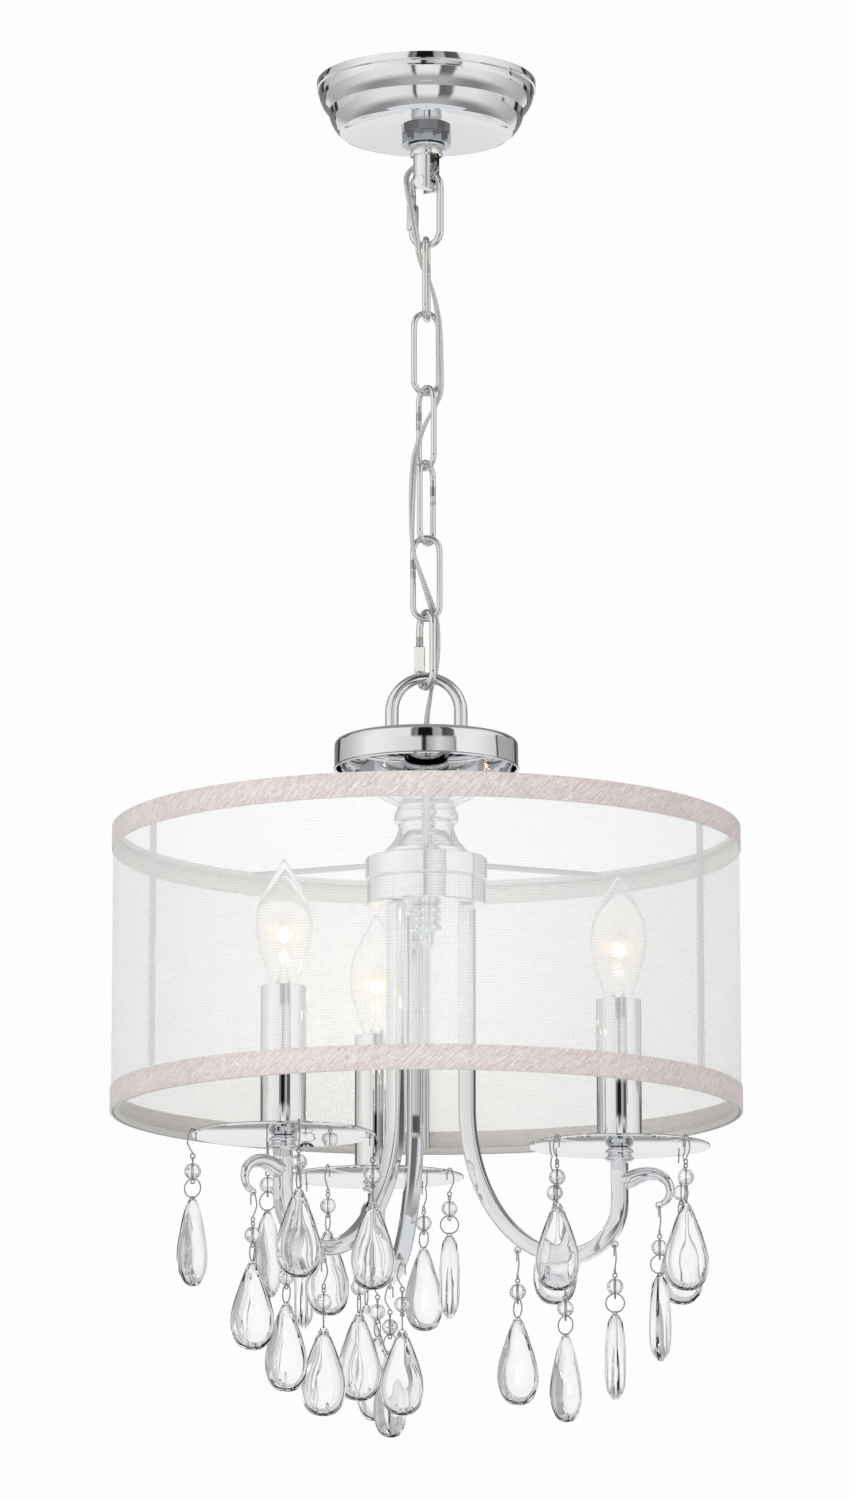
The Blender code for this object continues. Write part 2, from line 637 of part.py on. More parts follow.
def make_body_loop(body):
    """The arch on top of the cap, thinner at its crown."""
    middle = BODY_LOOP_TOP - BODY_LOOP_WIDTH / 2 - BODY_PIVOT
    leg = (BODY_LOOP_WIDTH - BODY_LOOP_LEG) / 2
    crown = (BODY_LOOP_WIDTH - BODY_LOOP_CROWN) / 2
    points = [(leg, 0.0, CAP_TOP + GAP - BODY_PIVOT)]
    radius_shares = [1.0]
    steps = BEND_STEPS * 2
    for step in range(steps + 1):
        angle = math.pi * step / steps
        radius = leg + (crown - leg) * math.sin(angle)
        points.append((radius * math.cos(angle), 0.0, middle + radius * math.sin(angle)))
        radius_shares.append(1.0 + (BODY_LOOP_CROWN / BODY_LOOP_LEG - 1.0) * math.sin(angle))
    points.append((-leg, 0.0, CAP_TOP + GAP - BODY_PIVOT))
    radius_shares.append(1.0)
    loop = wire("body_loop", points, BODY_LOOP_LEG / 2, detail=2, radius_shares=radius_shares)
    finish(loop, CHROME, parent=body)


def make_cap(body):
    """The polished pan under the loop, open below, with a small lip."""
    top = CAP_TOP - BODY_PIVOT
    side = CAP_RADIUS - CAP_LIP
    bottom = top - CAP_HEIGHT
    corner = CAP_CORNER
    cut = corner * CAP_ROUNDING_SHARE
    outline = [(CAP_HOLE, top), (side - corner, top), (side - cut, top - cut), (side, top - corner),
               (side, bottom + CAP_LIP * 2), (CAP_RADIUS, bottom)]
    finish(walled(turned("body_cap", outline, HUB_SIDES), CAP_WALL), CHROME, parent=body)


def make_column(body):
    """The turned column under the cap, with a socket for the cord in its neck."""
    top = COLUMN_TOP - BODY_PIVOT
    socket_floor = top - COLUMN_SOCKET_DEPTH
    saucer = SAUCER_TOP - BODY_PIVOT
    outline = [(0.0, socket_floor), (CAP_HOLE, socket_floor), (CAP_HOLE, top), (COLUMN_NECK_RADIUS, top),
               (COLUMN_NECK_RADIUS, saucer)]
    outline += [(COLUMN_RADIUS * across, saucer - COLUMN_HEIGHT * down) for across, down in COLUMN_SHARES]
    outline += [(0.0, saucer - COLUMN_HEIGHT)]
    finish(turned("column", outline, SLIM_SIDES), CHROME, parent=body)


def make_hub(body):
    """The hub that the arms hang from, with a hole for the finial's shank."""
    top = HUB_TOP - BODY_PIVOT
    bottom = top - HUB_HEIGHT
    step = top - HUB_BAND_HEIGHT
    lower = HUB_RADIUS - HUB_STEP
    shank_hole = FINIAL_SHANK_RADIUS + GAP
    hole_top = bottom + FINIAL_SHANK_LENGTH + GAP
    outline = [(0.0, top), (HUB_RADIUS - HUB_STEP, top), (HUB_RADIUS, top - HUB_STEP), (HUB_RADIUS, step),
               (lower, step - HUB_STEP), (lower, bottom + HUB_STEP), (lower - HUB_STEP, bottom),
               (shank_hole, bottom), (shank_hole, hole_top), (0.0, hole_top)]
    finish(turned("arm_hub", outline, HUB_SIDES), CHROME, parent=body)


def make_finial(body):
    """The ringed finial screwed up into the hub."""
    top = HUB_BOTTOM - GAP - BODY_PIVOT
    outline = [(0.0, top + FINIAL_SHANK_LENGTH), (FINIAL_SHANK_RADIUS, top + FINIAL_SHANK_LENGTH),
               (FINIAL_SHANK_RADIUS, top), (FINIAL_RADIUS, top)]
    rings = 3
    pitch = FINIAL_BODY_HEIGHT / rings
    for ring in range(1, rings):
        height = top - pitch * ring
        outline += [(FINIAL_RADIUS, height + FINIAL_GROOVE), (FINIAL_RADIUS - FINIAL_GROOVE, height),
                    (FINIAL_RADIUS, height - FINIAL_GROOVE)]
    bottom = top - FINIAL_BODY_HEIGHT
    tip = bottom - FINIAL_TIP_HEIGHT
    outline += [(FINIAL_RADIUS, bottom + FINIAL_GROOVE), (FINIAL_RADIUS - FINIAL_GROOVE, bottom),
                (FINIAL_TIP_RADIUS, bottom), (FINIAL_TIP_RADIUS, tip + FINIAL_GROOVE),
                (FINIAL_TIP_RADIUS - FINIAL_GROOVE, tip), (0.0, tip)]
    finish(turned("hub_finial", outline, BULB_SIDES), CHROME, parent=body)


def circle(radius, height, sides):
    """Points of a level circle."""
    return [(*polar(radius, 360 * step / sides), height) for step in range(sides)]


def make_shade_frame(body):
    """The disc at the hub, three spider arms, two rings and three upright struts."""
    top = SHADE_TOP - FRAME_RING_INSET - BODY_PIVOT
    bottom = SHADE_TOP - SHADE_HEIGHT + FRAME_RING_INSET - BODY_PIVOT
    disc_top = SPIDER_TOP - BODY_PIVOT
    disc_middle = disc_top - SPIDER_DISC_THICKNESS / 2
    disc_radius = BELL_RADIUS + SPIDER_DISC_OVERHANG
    disc_bottom = disc_top - SPIDER_DISC_THICKNESS
    disc = turned("spider_disc", [(0.0, disc_top), (disc_radius, disc_top), (disc_radius, disc_bottom),
                                  (0.0, disc_bottom)], SLIM_SIDES)
    joined = []
    for height in (top, bottom):
        joined.append(wire("ring", circle(FRAME_RING_RADIUS, height, SHADE_SIDES), FRAME_WIRE / 2,
                           closed=True, detail=0))
    for heading in SPIDER_HEADINGS:
        ends = [(*polar(BELL_RADIUS + GAP * 3, heading), disc_middle + FRAME_WIRE / 2),
                (*polar(FRAME_RING_RADIUS - FRAME_WIRE / 4, heading), top)]
        joined.append(wire("spider_arm", ends, FRAME_WIRE / 2, detail=0))
    for heading in STRUT_HEADINGS:
        ends = [(*polar(FRAME_RING_RADIUS, heading), top), (*polar(FRAME_RING_RADIUS, heading), bottom)]
        joined.append(wire("strut", ends, FRAME_WIRE / 2, detail=0))
    frame = smooth(combined("shade_frame", disc, joined))
    finish(frame, CHROME, parent=body)


def make_shade_fabric(body):
    """The drum of sheer fabric with its two thicker trims."""
    top = SHADE_TOP - BODY_PIVOT
    bottom = top - SHADE_HEIGHT
    inner = SHADE_RADIUS - TRIM_WALL
    side = inner + FABRIC_WALL
    outline = [(SHADE_RADIUS, top), (SHADE_RADIUS, top - TRIM_HEIGHT), (side, top - TRIM_HEIGHT),
               (side, bottom + TRIM_HEIGHT), (SHADE_RADIUS, bottom + TRIM_HEIGHT), (SHADE_RADIUS, bottom),
               (inner, bottom), (inner, top)]
    finish(turned("shade_fabric", outline, SHADE_SIDES, closed=True), ORGANZA, parent=body)


def sweep_place(degrees):
    """A place on the arm's long quarter ellipse and the way out of its underside."""
    angle = math.radians(degrees)
    across, down = math.cos(angle), math.sin(angle)
    place = Vector((SWEEP_RADIUS - ARM_SWEEP_REACH * across, SWEEP_TOP - ARM_SWEEP_DEPTH * down))
    outward = Vector((-ARM_SWEEP_DEPTH * across, -ARM_SWEEP_REACH * down))
    return place, outward.normalized()


def upturn_place(degrees):
    """A place on the arm's upturned quarter circle and the way out of its underside."""
    outward = Vector(polar(1.0, degrees))
    return Vector((SWEEP_RADIUS, UPTURN_HEIGHT)) + outward * ARM_UPTURN_RADIUS, outward


def arm_outline():
    """The side outline of the arm's bar, less its chamfer, in radius and height."""
    half = ARM_BAR / 2 - ARM_CHAMFER
    stations = [(Vector((ARM_ROOT_RADIUS, ARM_TOP - ARM_CHAMFER)), Vector((-1.0, 0.0)))]
    sweep_steps = 6
    stations += [sweep_place(90 * step / sweep_steps) for step in range(sweep_steps)]
    upturn_steps = 4
    stations += [upturn_place(-90 + 90 * step / upturn_steps) for step in range(upturn_steps + 1)]
    end = RING_BOTTOM + ARM_TONGUE
    stations.append((Vector((CANDLE_RADIUS, end)), Vector((1.0, 0.0))))
    under = [place + outward * half for place, outward in stations]
    over = [place - outward * half for place, outward in stations]
    return [tuple(point - Vector((0.0, BODY_PIVOT))) for point in over + under[::-1]]


def scroll_points():
    """Centreline of the scroll beyond the candle, and its thickness shares."""
    root = UPTURN_HEIGHT + ARM_RING_RISE - SCROLL_DROP + GAP - BODY_PIVOT
    centre = Vector((CANDLE_RADIUS + SCROLL_REACH, root - SCROLL_SAG))
    points = [(CANDLE_RADIUS + ARM_BAR / 4, 0.0, root)]
    radius_shares = [1.0]
    steps = 9
    thinnest = SCROLL_TIP_DIAMETER / SCROLL_ROOT_DIAMETER
    for step in range(steps + 1):
        share = 1.0 - step / steps
        degrees = SCROLL_END_ANGLE + (SCROLL_START_ANGLE - SCROLL_END_ANGLE) * share
        radius = SCROLL_INNER_RADIUS + SCROLL_STEADY_GROWTH * share
        radius += SCROLL_LATE_GROWTH * share ** SCROLL_CURLING
        place = centre + Vector(polar(radius, degrees))
        points.append((place.x, 0.0, place.y))
        radius_shares.append(thinnest + (1.0 - thinnest) * share ** SCROLL_THINNING)
    return points, radius_shares


def eye_centres():
    """Radius and height of the arm's small eyes, three under its bar and one at the scroll's tip."""
    out = ARM_BAR / 2 + EYE_STAND
    places = [sweep_place(degrees) for degrees in SWEEP_EYE_ANGLES]
    places.append(upturn_place(UPTURN_EYE_ANGLE))
    centres = [place + outward * out - Vector((0.0, BODY_PIVOT)) for place, outward in places]
    points, _ = scroll_points()
    tip = Vector((points[-1][0], points[-1][2]))
    before = Vector((points[-2][0], points[-2][2]))
    centres.append(tip + (tip - before).normalized() * (EYE_RADIUS + EYE_WIRE / 4))
    return centres


def make_arm(name, arm):
    """One swept arm with its scroll, ring stack and four eyes, all one casting."""
    bar = flat_bar("arm_bar", arm_outline(), ARM_BAR / 2, ARM_CHAMFER)
    bottom = RING_BOTTOM - BODY_PIVOT
    outline = [(0.0, bottom + ARM_RING_HEIGHT)]
    rings = 2
    pitch = ARM_RING_HEIGHT / rings
    for ring in range(rings):
        top = bottom + ARM_RING_HEIGHT - pitch * ring
        outline += [(ARM_RING_RADIUS - ARM_RING_GROOVE, top), (ARM_RING_RADIUS, top - pitch / 3),
                    (ARM_RING_RADIUS, top - pitch * 2 / 3)]
    outline += [(ARM_RING_RADIUS - ARM_RING_GROOVE, bottom), (0.0, bottom)]
    stack = turned("ring_stack", outline, BULB_SIDES)
    stack.location = (CANDLE_RADIUS, 0.0, 0.0)
    points, radius_shares = scroll_points()
    scroll = wire("scroll", points, SCROLL_ROOT_DIAMETER / 2, radius_shares=radius_shares)
    collar_place = (CANDLE_RADIUS + ARM_BAR / 2 + SCROLL_COLLAR_WIDTH / 4, 0.0, points[0][2])
    collar = rod("scroll_collar", SCROLL_COLLAR_RADIUS, SCROLL_COLLAR_WIDTH * 3 / 2, collar_place, (1, 0, 0),
                 TINY_SIDES)
    eyes = [torus("eye", EYE_RADIUS, EYE_WIRE, (centre.x, 0.0, centre.y), 0.0) for centre in eye_centres()]
    finish(smooth(combined(name, bar, [stack, scroll, collar, *eyes])), CHROME, parent=arm)


def make_pan(name, arm, heading):
    """A flat drip pan with a centre hole and four small hook holes at its rim."""
    bottom = PAN_BOTTOM - BODY_PIVOT
    outline = ring_outline(PAN_RADIUS, SOCKET_STEM_RADIUS + GAP, bottom, bottom + PAN_WALL)
    disc = turned("pan_disc", outline, closed=True)
    holes = []
    for hook in range(HOOKS_PER_PAN):
        hole = rod("pan_hole", PAN_HOLE_RADIUS, OVERRUN * 2, (PAN_HOLE_PLACE, 0.0, bottom), (0, 0, 1),
                   CRYSTAL_SIDES, CUTTERS)
        hole.rotation_euler = (0.0, 0.0, math.tau * hook / HOOKS_PER_PAN)
        holes.append(hole)
    pan = smooth(combined(name, disc, holes, "DIFFERENCE"))
    pan.location = (CANDLE_RADIUS, 0.0, 0.0)
    pan.rotation_euler = (0.0, 0.0, math.radians(heading))
    finish(pan, CHROME, parent=arm)


def make_candle(number, arm):
    """The tube, the socket inside it and the bulb in the socket."""
    bottom = SLEEVE_BOTTOM - BODY_PIVOT
    inner = SLEEVE_TUBE_RADIUS - SLEEVE_TUBE_WALL
    tube_outline = ring_outline(SLEEVE_TUBE_RADIUS, inner, bottom, bottom + SLEEVE_TUBE_HEIGHT)
    tube = turned(f"candle_sleeve_{number}", tube_outline, SMALL_SIDES, closed=True)
    cup_top = CUP_TOP - BODY_PIVOT
    cup = inner - SOCKET_CLEARANCE
    bore = (BULB_BASE_RADIUS + GAP) / math.cos(math.pi / BULB_SIDES)
    cup_bottom = cup_top - SOCKET_CUP_LENGTH
    stem_bottom = PAN_BOTTOM - BODY_PIVOT
    bore_floor = cup_top - SOCKET_BORE_DEPTH
    socket_outline = [(0.0, bore_floor), (bore, bore_floor), (bore, cup_top), (cup, cup_top),
                      (cup, cup_bottom), (SOCKET_STEM_RADIUS, cup_bottom), (SOCKET_STEM_RADIUS, stem_bottom),
                      (0.0, stem_bottom)]
    socket = turned(f"socket_{number}", socket_outline, BULB_SIDES)
    glass = cup_top + GAP
    base_bottom = cup_top - SOCKET_BORE_DEPTH + GAP
    bulb_outline = [(BULB_RADIUS * across, BULB_HEIGHT * up) for across, up in BULB_SHARES]
    bulb_outline += [(BULB_BASE_RADIUS, 0.0), (BULB_BASE_RADIUS, base_bottom - glass + BULB_BASE_TIP),
                     (BULB_BASE_TIP, base_bottom - glass), (0.0, base_bottom - glass)]
    bulb = turned(f"bulb_{number}", bulb_outline, BULB_SIDES)
    for item, look, height in ((tube, CHROME, 0.0), (socket, PLASTIC, 0.0), (bulb, GLASS, glass)):
        item.location = (CANDLE_RADIUS, 0.0, height)
        finish(item, look, parent=arm)


def make_strand(name, parent, place, hook_heading, drop_turn):
    """A hook, a bead, a jump ring and a crystal, with the origin at the hook's bend."""
    hook_points = [(-HOOK_RADIUS, 0.0, -HOOK_TAIL)]
    hook_steps = 4
    for step in range(hook_steps + 1):
        x, z = polar(HOOK_RADIUS, 180 - 180 * step / hook_steps)
        hook_points.append((x, 0.0, z))
    hook_points += [(0.0, 0.0, -HOOK_STRAIGHTEN), (0.0, 0.0, -BEAD_DROP + BEAD_DIAMETER / 4)]
    hook = wire("hook", hook_points, HOOK_WIRE / 2, detail=0)
    turn = math.radians(drop_turn)
    bead_bands = 3
    bead_outline = [polar(BEAD_DIAMETER / 2, 90 - 180 * step / bead_bands) for step in range(bead_bands + 1)]
    bead_outline[0] = (0.0, BEAD_DIAMETER / 2)
    bead_outline[-1] = (0.0, -BEAD_DIAMETER / 2)
    bead = turned("bead", bead_outline, CRYSTAL_SIDES)
    bead.location = (0.0, 0.0, -BEAD_DROP)
    ring = torus("jump_ring", (RING_DIAMETER - RING_WIRE) / 2, RING_WIRE, (0.0, 0.0, -RING_DROP),
                 turn + math.radians(90))
    drop_outline = [(CRYSTAL_WIDTH / 2 * across, -CRYSTAL_LENGTH * down) for across, down in CRYSTAL_SHARES]
    crystal = turned("crystal", drop_outline, CRYSTAL_SIDES)
    crystal.location = (0.0, 0.0, -CRYSTAL_DROP)
    crystal.scale = (1.0, CRYSTAL_THICKNESS / CRYSTAL_WIDTH / math.sin(math.radians(60)), 1.0)
    crystal.rotation_euler = (0.0, 0.0, turn)
    strand = combined(name, hook, [bead, ring, crystal])
    strand.location = place
    strand.rotation_euler = (0.0, 0.0, math.radians(hook_heading))
    finish(strand, CRYSTAL, parent=parent)


def make_strands(index, arm, arm_heading, pan_heading):
    """Four strands round the pan and four along the arm, the last on the scroll."""
    pan_height = PAN_BOTTOM + PAN_WALL / 2 - BODY_PIVOT
    for hook in range(HOOKS_PER_PAN):
        heading = pan_heading + 360 * hook / HOOKS_PER_PAN
        x, y = polar(PAN_HOOK_RADIUS, heading)
        drop_turn = PAN_DROP_HEADINGS[index][hook] - arm_heading - heading
        make_strand(f"pan_strand_{index + 1}_{hook + 1}", arm, (CANDLE_RADIUS + x, y, pan_height), heading,
                    drop_turn)
    pivots = [centre - Vector((0.0, EYE_RADIUS)) for centre in eye_centres()]
    for eye, pivot in enumerate(pivots):
        drop_turn = ARM_DROP_HEADINGS[index][eye] - arm_heading - 90
        make_strand(f"arm_strand_{index + 1}_{eye + 1}", arm, (pivot.x, 0.0, pivot.y), 90.0, drop_turn)


def make_cord():
    """The supply cord, laced from side to side through the chain."""
    finish(wire("supply_cord", CORD_POINTS, CORD_RADIUS, detail=2), CORD_SLEEVE)


def make_lamp():
    """The whole chandelier."""
    make_canopy()
    make_crossbar()
    make_nipple()
    make_collar_nut()
    make_canopy_loop()
    make_chain()
    body = holder("body_hanger", (0.0, 0.0, BODY_PIVOT))
    make_body_loop(body)
    make_cap(body)
    make_column(body)
    make_hub(body)
    make_finial(body)
    make_shade_frame(body)
    make_shade_fabric(body)
    make_cord()
    for index, arm_heading in enumerate(ARM_HEADINGS):
        arm = holder(f"arm_holder_{index + 1}", heading=arm_heading, parent=body)
        pan_heading = PAN_HOOK_HEADINGS[index] - arm_heading
        make_arm(f"arm_{index + 1}", arm)
        make_pan(f"drip_pan_{index + 1}", arm, pan_heading)
        make_candle(index + 1, arm)
        make_strands(index, arm, arm_heading, pan_heading)


make_lamp()
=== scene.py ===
"""The looks of the drum chandelier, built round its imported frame.

Metres, +Z up, the origin in the plane of the ceiling, on the lamp's axis. The camera looks along +Y.
"""
import json
import math

import bpy
from mathutils import Matrix, Vector


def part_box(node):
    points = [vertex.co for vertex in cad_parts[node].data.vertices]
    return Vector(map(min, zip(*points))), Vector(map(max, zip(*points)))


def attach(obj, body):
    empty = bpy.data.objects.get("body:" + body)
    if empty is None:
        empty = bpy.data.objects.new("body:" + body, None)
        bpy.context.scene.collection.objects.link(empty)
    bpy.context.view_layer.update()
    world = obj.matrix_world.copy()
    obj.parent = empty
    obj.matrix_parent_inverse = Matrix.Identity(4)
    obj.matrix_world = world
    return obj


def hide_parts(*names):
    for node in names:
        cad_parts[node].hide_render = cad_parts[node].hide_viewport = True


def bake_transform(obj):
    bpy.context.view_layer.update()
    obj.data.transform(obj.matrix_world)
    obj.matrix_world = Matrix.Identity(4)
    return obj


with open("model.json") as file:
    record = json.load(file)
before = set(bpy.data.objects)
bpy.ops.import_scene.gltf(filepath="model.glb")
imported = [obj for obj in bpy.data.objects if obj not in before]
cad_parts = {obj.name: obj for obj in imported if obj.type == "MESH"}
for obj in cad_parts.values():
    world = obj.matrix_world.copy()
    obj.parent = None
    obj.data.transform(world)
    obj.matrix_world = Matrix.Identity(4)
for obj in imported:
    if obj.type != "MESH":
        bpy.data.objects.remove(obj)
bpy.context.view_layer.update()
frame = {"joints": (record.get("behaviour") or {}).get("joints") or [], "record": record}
JOINT_OF = {joint["child"]: joint for joint in frame["joints"]}
BODY_OF = {node: body for body, nodes in frame["record"]["behaviour"]["bodies"].items() for node in nodes}

# The gap left between pieces, and the fineness of the meshes
GAP = 0.0003
WELD = 0.00002
SPECK = 0.001
CLOTH_STEPS = 192
CROWN_STEPS = 128
TURN_STEPS = 72
SMALL_STEPS = 40
TINY_STEPS = 16

# Sizes of the ceiling end
CANOPY_RADIUS = 0.0655
CANOPY_BAND = 0.0045
CANOPY_WALL = 0.001
NECK_RADIUS = 0.0093
NECK_BOTTOM = -0.026
NUT_RADIUS = 0.0148
NUT_BORE_RADIUS = 0.0083
NUT_SEAM_RADIUS = 0.0131
NUT_HEIGHT = 0.0131
NIPPLE_RADIUS = 0.00495
NIPPLE_BORE_RADIUS = 0.0032
THREAD_PITCH = 0.0009
THREAD_DEPTH = 0.0004
SCREW_SLOT_PLACE = 0.035
SCREW_SLOT_LENGTH = 0.016
SCREW_SLOT_WIDTH = 0.005
LOOP_HEADING = -36.0
LOOP_BAR_RADIUS = 0.00395
LOOP_NECK_RADIUS = 0.0079
LOOP_FLANGE_RADIUS = 0.0112
LOOP_FLANGE_HEIGHT = 0.0038
LOOP_SEAT_RADIUS = 0.0099
LOOP_SEAT_HEIGHT = 0.0025
LOOP_EYE_RADIUS = 0.0078
LOOP_EYE_HEIGHT = 0.021
LOOP_SLOT_WIDTH = 0.0095

# Sizes of the chain
LINK_LENGTH = 0.0527
LINK_WIDTH = 0.0191
LINK_WIRE = 0.0034
LINK_SEAM = 0.0004
LINK_SEAM_SHARE = 0.88
QUICK_LENGTH = 0.0492
QUICK_WIDTH = 0.0215
QUICK_WIRE = 0.0042
QUICK_MOUTH = 0.0055
SLEEVE_RADIUS = 0.00365
SLEEVE_LENGTH = 0.0158
SLEEVE_FOOT = 0.0014
LINK_HEADINGS = {"quick_link_top": 162.0, "chain_link_1": 84.0, "chain_link_2": 20.0, "chain_link_3": 124.0,
                 "chain_link_4": 60.0, "chain_link_5": 176.0, "quick_link_bottom": 117.0}

# Sizes of the body and the shade
BODY_LOOP_WIDTH = 0.0485
BODY_LOOP_LEG = 0.008
BODY_LOOP_CROWN = 0.0065
BODY_LOOP_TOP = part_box("body_loop")[1].z
CAP_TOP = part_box("body_cap")[1].z
CAP_RADIUS = 0.0548
CAP_HEIGHT = 0.0179
CAP_ROUNDING = 0.0035
CORD_HOLE_RADIUS = 0.0032
COLUMN_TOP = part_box("column")[1].z
COLUMN_RADIUS = 0.0289
COLUMN_HEIGHT = 0.038
COLUMN_NECK_RADIUS = 0.013
BELL_SHARE = 0.845
SAUCER_TOP = CAP_TOP - 0.0307
HUB_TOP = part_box("arm_hub")[1].z
HUB_RADIUS = 0.0356
HUB_HEIGHT = 0.028
HUB_STEP = 0.013
SHADE_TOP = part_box("shade_fabric")[1].z
SHADE_RADIUS = 0.184
SHADE_HEIGHT = 0.1685
VEIL_WALL = 0.00025
TRIM_HEIGHT = 0.0142
TRIM_WALL = 0.0014
FRAME_WIRE = 0.0036
FRAME_RING_RADIUS = SHADE_RADIUS - TRIM_WALL - GAP - FRAME_WIRE / 2
SPIDER_HEADINGS = (55.0, 125.0, 270.0)
STRUT_HEADINGS = (90.0, 210.0, 330.0)

# Sizes of the arms and the candles
ARM_HEADINGS = (-15.0, 105.0, 225.0)
ARM_ROOT_RADIUS = 0.0245
ARM_BAR = 0.0088
ARM_CHAMFER = 0.0012
ARM_DROP = 0.119
ARM_SWEEP_REACH = 0.0607
ARM_SWEEP_DEPTH = 0.0885
ARM_UPTURN_RADIUS = 0.03
ARM_RING_RISE = 0.0235
ARM_RING_RADIUS = 0.0082
ARM_RING_HEIGHT = 0.0079
ARM_TOP = HUB_TOP - HUB_HEIGHT - GAP
SWEEP_TOP = ARM_TOP - ARM_DROP
UPTURN_HEIGHT = SWEEP_TOP - ARM_SWEEP_DEPTH + ARM_UPTURN_RADIUS
SWEEP_RADIUS = ARM_ROOT_RADIUS + ARM_SWEEP_REACH
CANDLE_RADIUS = SWEEP_RADIUS + ARM_UPTURN_RADIUS
RING_BOTTOM = UPTURN_HEIGHT + ARM_RING_RISE
PAN_RADIUS = 0.0523
PAN_WALL = 0.0017
PAN_EDGE = 0.0022
PAN_CENTRE_RADIUS = 0.0053
PAN_HOLE_RADIUS = 0.0012
PAN_HOLE_PLACE = PAN_RADIUS - 0.002
PAN_BOTTOM = RING_BOTTOM + ARM_RING_HEIGHT + GAP
PAN_HEADINGS = (45.0, 57.0, 11.0)
SLEEVE_TUBE_RADIUS = 0.013
SLEEVE_TUBE_WALL = 0.0011
SLEEVE_TUBE_HEIGHT = 0.0838
SLEEVE_BOTTOM = PAN_BOTTOM + PAN_WALL + GAP
CUP_TOP = SLEEVE_BOTTOM + SLEEVE_TUBE_HEIGHT - 0.0015
CUP_DEPTH = 0.024
CUP_HEIGHT = 0.0425
SOCKET_STEM_RADIUS = 0.005
BULB_FOOT = CUP_TOP + GAP
BULB_RADIUS = 0.016
BULB_HEIGHT = 0.0752
FILAMENT_RISE = 0.031
FILAMENT_REACH = 0.0036
FILAMENT_ARCH = 0.0035
FILAMENT_TURNS = 15
COIL_RADIUS = 0.0006
HOT_HEIGHT = BULB_FOOT + FILAMENT_RISE + 0.0015
CORE_RADIUS = 0.0024
GLOW_RADII = (0.0054, 0.0092)

# Sizes of the crystal strands
HOOK_RADIUS = 0.00175
HOOK_WIRE = 0.0008
BEAD_DROP = 0.0225
BEAD_DIAMETER = 0.0096
BEAD_TURN = 13.0
RING_DROP = 0.032
RING_DIAMETER = 0.0115
RING_WIRE = 0.0008
CRYSTAL_DROP = 0.0366
CRYSTAL_LENGTH = 0.051
CRYSTAL_WIDTH = 0.0255
CRYSTAL_THICKNESS = 0.012
CRYSTAL_GIRDLE = 0.0018
PAN_DROP_HEADINGS = ((15.0, 10.0, 0.0, 5.0), (30.0, 90.0, 15.0, 90.0), (0.0, 60.0, 60.0, 15.0))
ARM_DROP_HEADINGS = ((25.0, 50.0, 90.0, 80.0), (0.0, 45.0, 20.0, 10.0), (10.0, 0.0, 25.0, 20.0))

# The cord's route, given point by point, and the bodies that it crosses
CORD_RADIUS = 0.002
CORD_TWIST = 38.0
CORD_POINTS = (
    (0.0, 0.0, -0.001), (0.0, 0.0, -0.02), (0.0, 0.0, -0.0455),
    (-0.0011, 0.0006, -0.0487), (-0.0042, 0.0022, -0.0508), (-0.0083, 0.0026, -0.0527),
    (-0.0117, 0.0002, -0.0585), (-0.0112, -0.0030, -0.067), (-0.0095, -0.0042, -0.0765),
    (-0.0075, -0.0045, -0.088), (-0.0052, -0.0055, -0.100), (-0.0043, -0.0040, -0.108),
    (-0.0015, -0.0005, -0.116), (0.0020, 0.0005, -0.123), (0.0050, -0.0010, -0.134),
    (0.0072, -0.0022, -0.147), (0.0079, -0.0024, -0.160), (0.0082, -0.0024, -0.172),
    (0.0086, -0.0020, -0.184), (0.0082, -0.0010, -0.1925), (0.0050, 0.0000, -0.200),
    (0.0012, 0.0002, -0.2065), (-0.0024, 0.0006, -0.2145), (-0.0052, 0.0005, -0.223),
    (-0.0072, 0.0005, -0.232), (-0.0082, 0.0005, -0.247), (-0.0085, 0.0000, -0.2625),
    (-0.0085, -0.0022, -0.278), (-0.0074, -0.0046, -0.289), (-0.0042, -0.0040, -0.300),
    (-0.0002, -0.0012, -0.311), (0.0030, 0.0020, -0.320), (0.0056, 0.0046, -0.3295),
    (0.0064, 0.0030, -0.341), (0.0062, 0.0024, -0.352), (0.0052, 0.0050, -0.3605),
    (0.0034, 0.0062, -0.368), (0.0022, 0.0048, -0.3755), (0.0006, 0.0018, -0.386),
    (0.0, 0.0, -0.396), (0.0, 0.0, -0.4045))
CHAIN_BODIES = ("ceiling_set", *LINK_HEADINGS, "lamp_body")

# The studio: its colours, and the greys seen by heading in degrees (0 towards the camera) or by height
BLACK = (0.0, 0.0, 0.0)
WHITE = (1.0, 1.0, 1.0)
BACKDROP = (0.985, 0.985, 0.985)
FLOOR_COLOUR = (0.90, 0.92, 0.955)
METAL_WHITE_ABOVE = (0.99, 0.98, 0.95)
METAL_WHITE_BELOW = (0.925, 0.935, 0.945)
METAL_FLOOR = (0.84, 0.86, 0.89)
METAL_CEILING = (0.3, 0.31, 0.33)
GLASS_DARK = (0.24, 0.255, 0.24)
GLASS_WHITE = (0.985, 0.985, 0.98)
LEVEL_FLAGS = (
    (-180, 0.34), (-160, 0.24), (-149, 0.16), (-146, 0.02), (-142, 0.02), (-139, 0.5), (-110, 0.66),
    (-80, 1.0), (-60, 1.0), (-35, 0.9), (-7, 0.78), (-5, 0.04), (-1, 0.04), (1, 0.42), (16, 0.8), (30, 0.56),
    (36, 0.42), (37, 0.12), (39, 1.0), (60, 1.0), (85, 0.84), (99, 0.74), (100, 0.1), (102, 0.1), (104, 0.48),
    (140, 0.4), (147, 0.3), (149, 0.02), (153, 0.02), (156, 0.2), (180, 0.34))
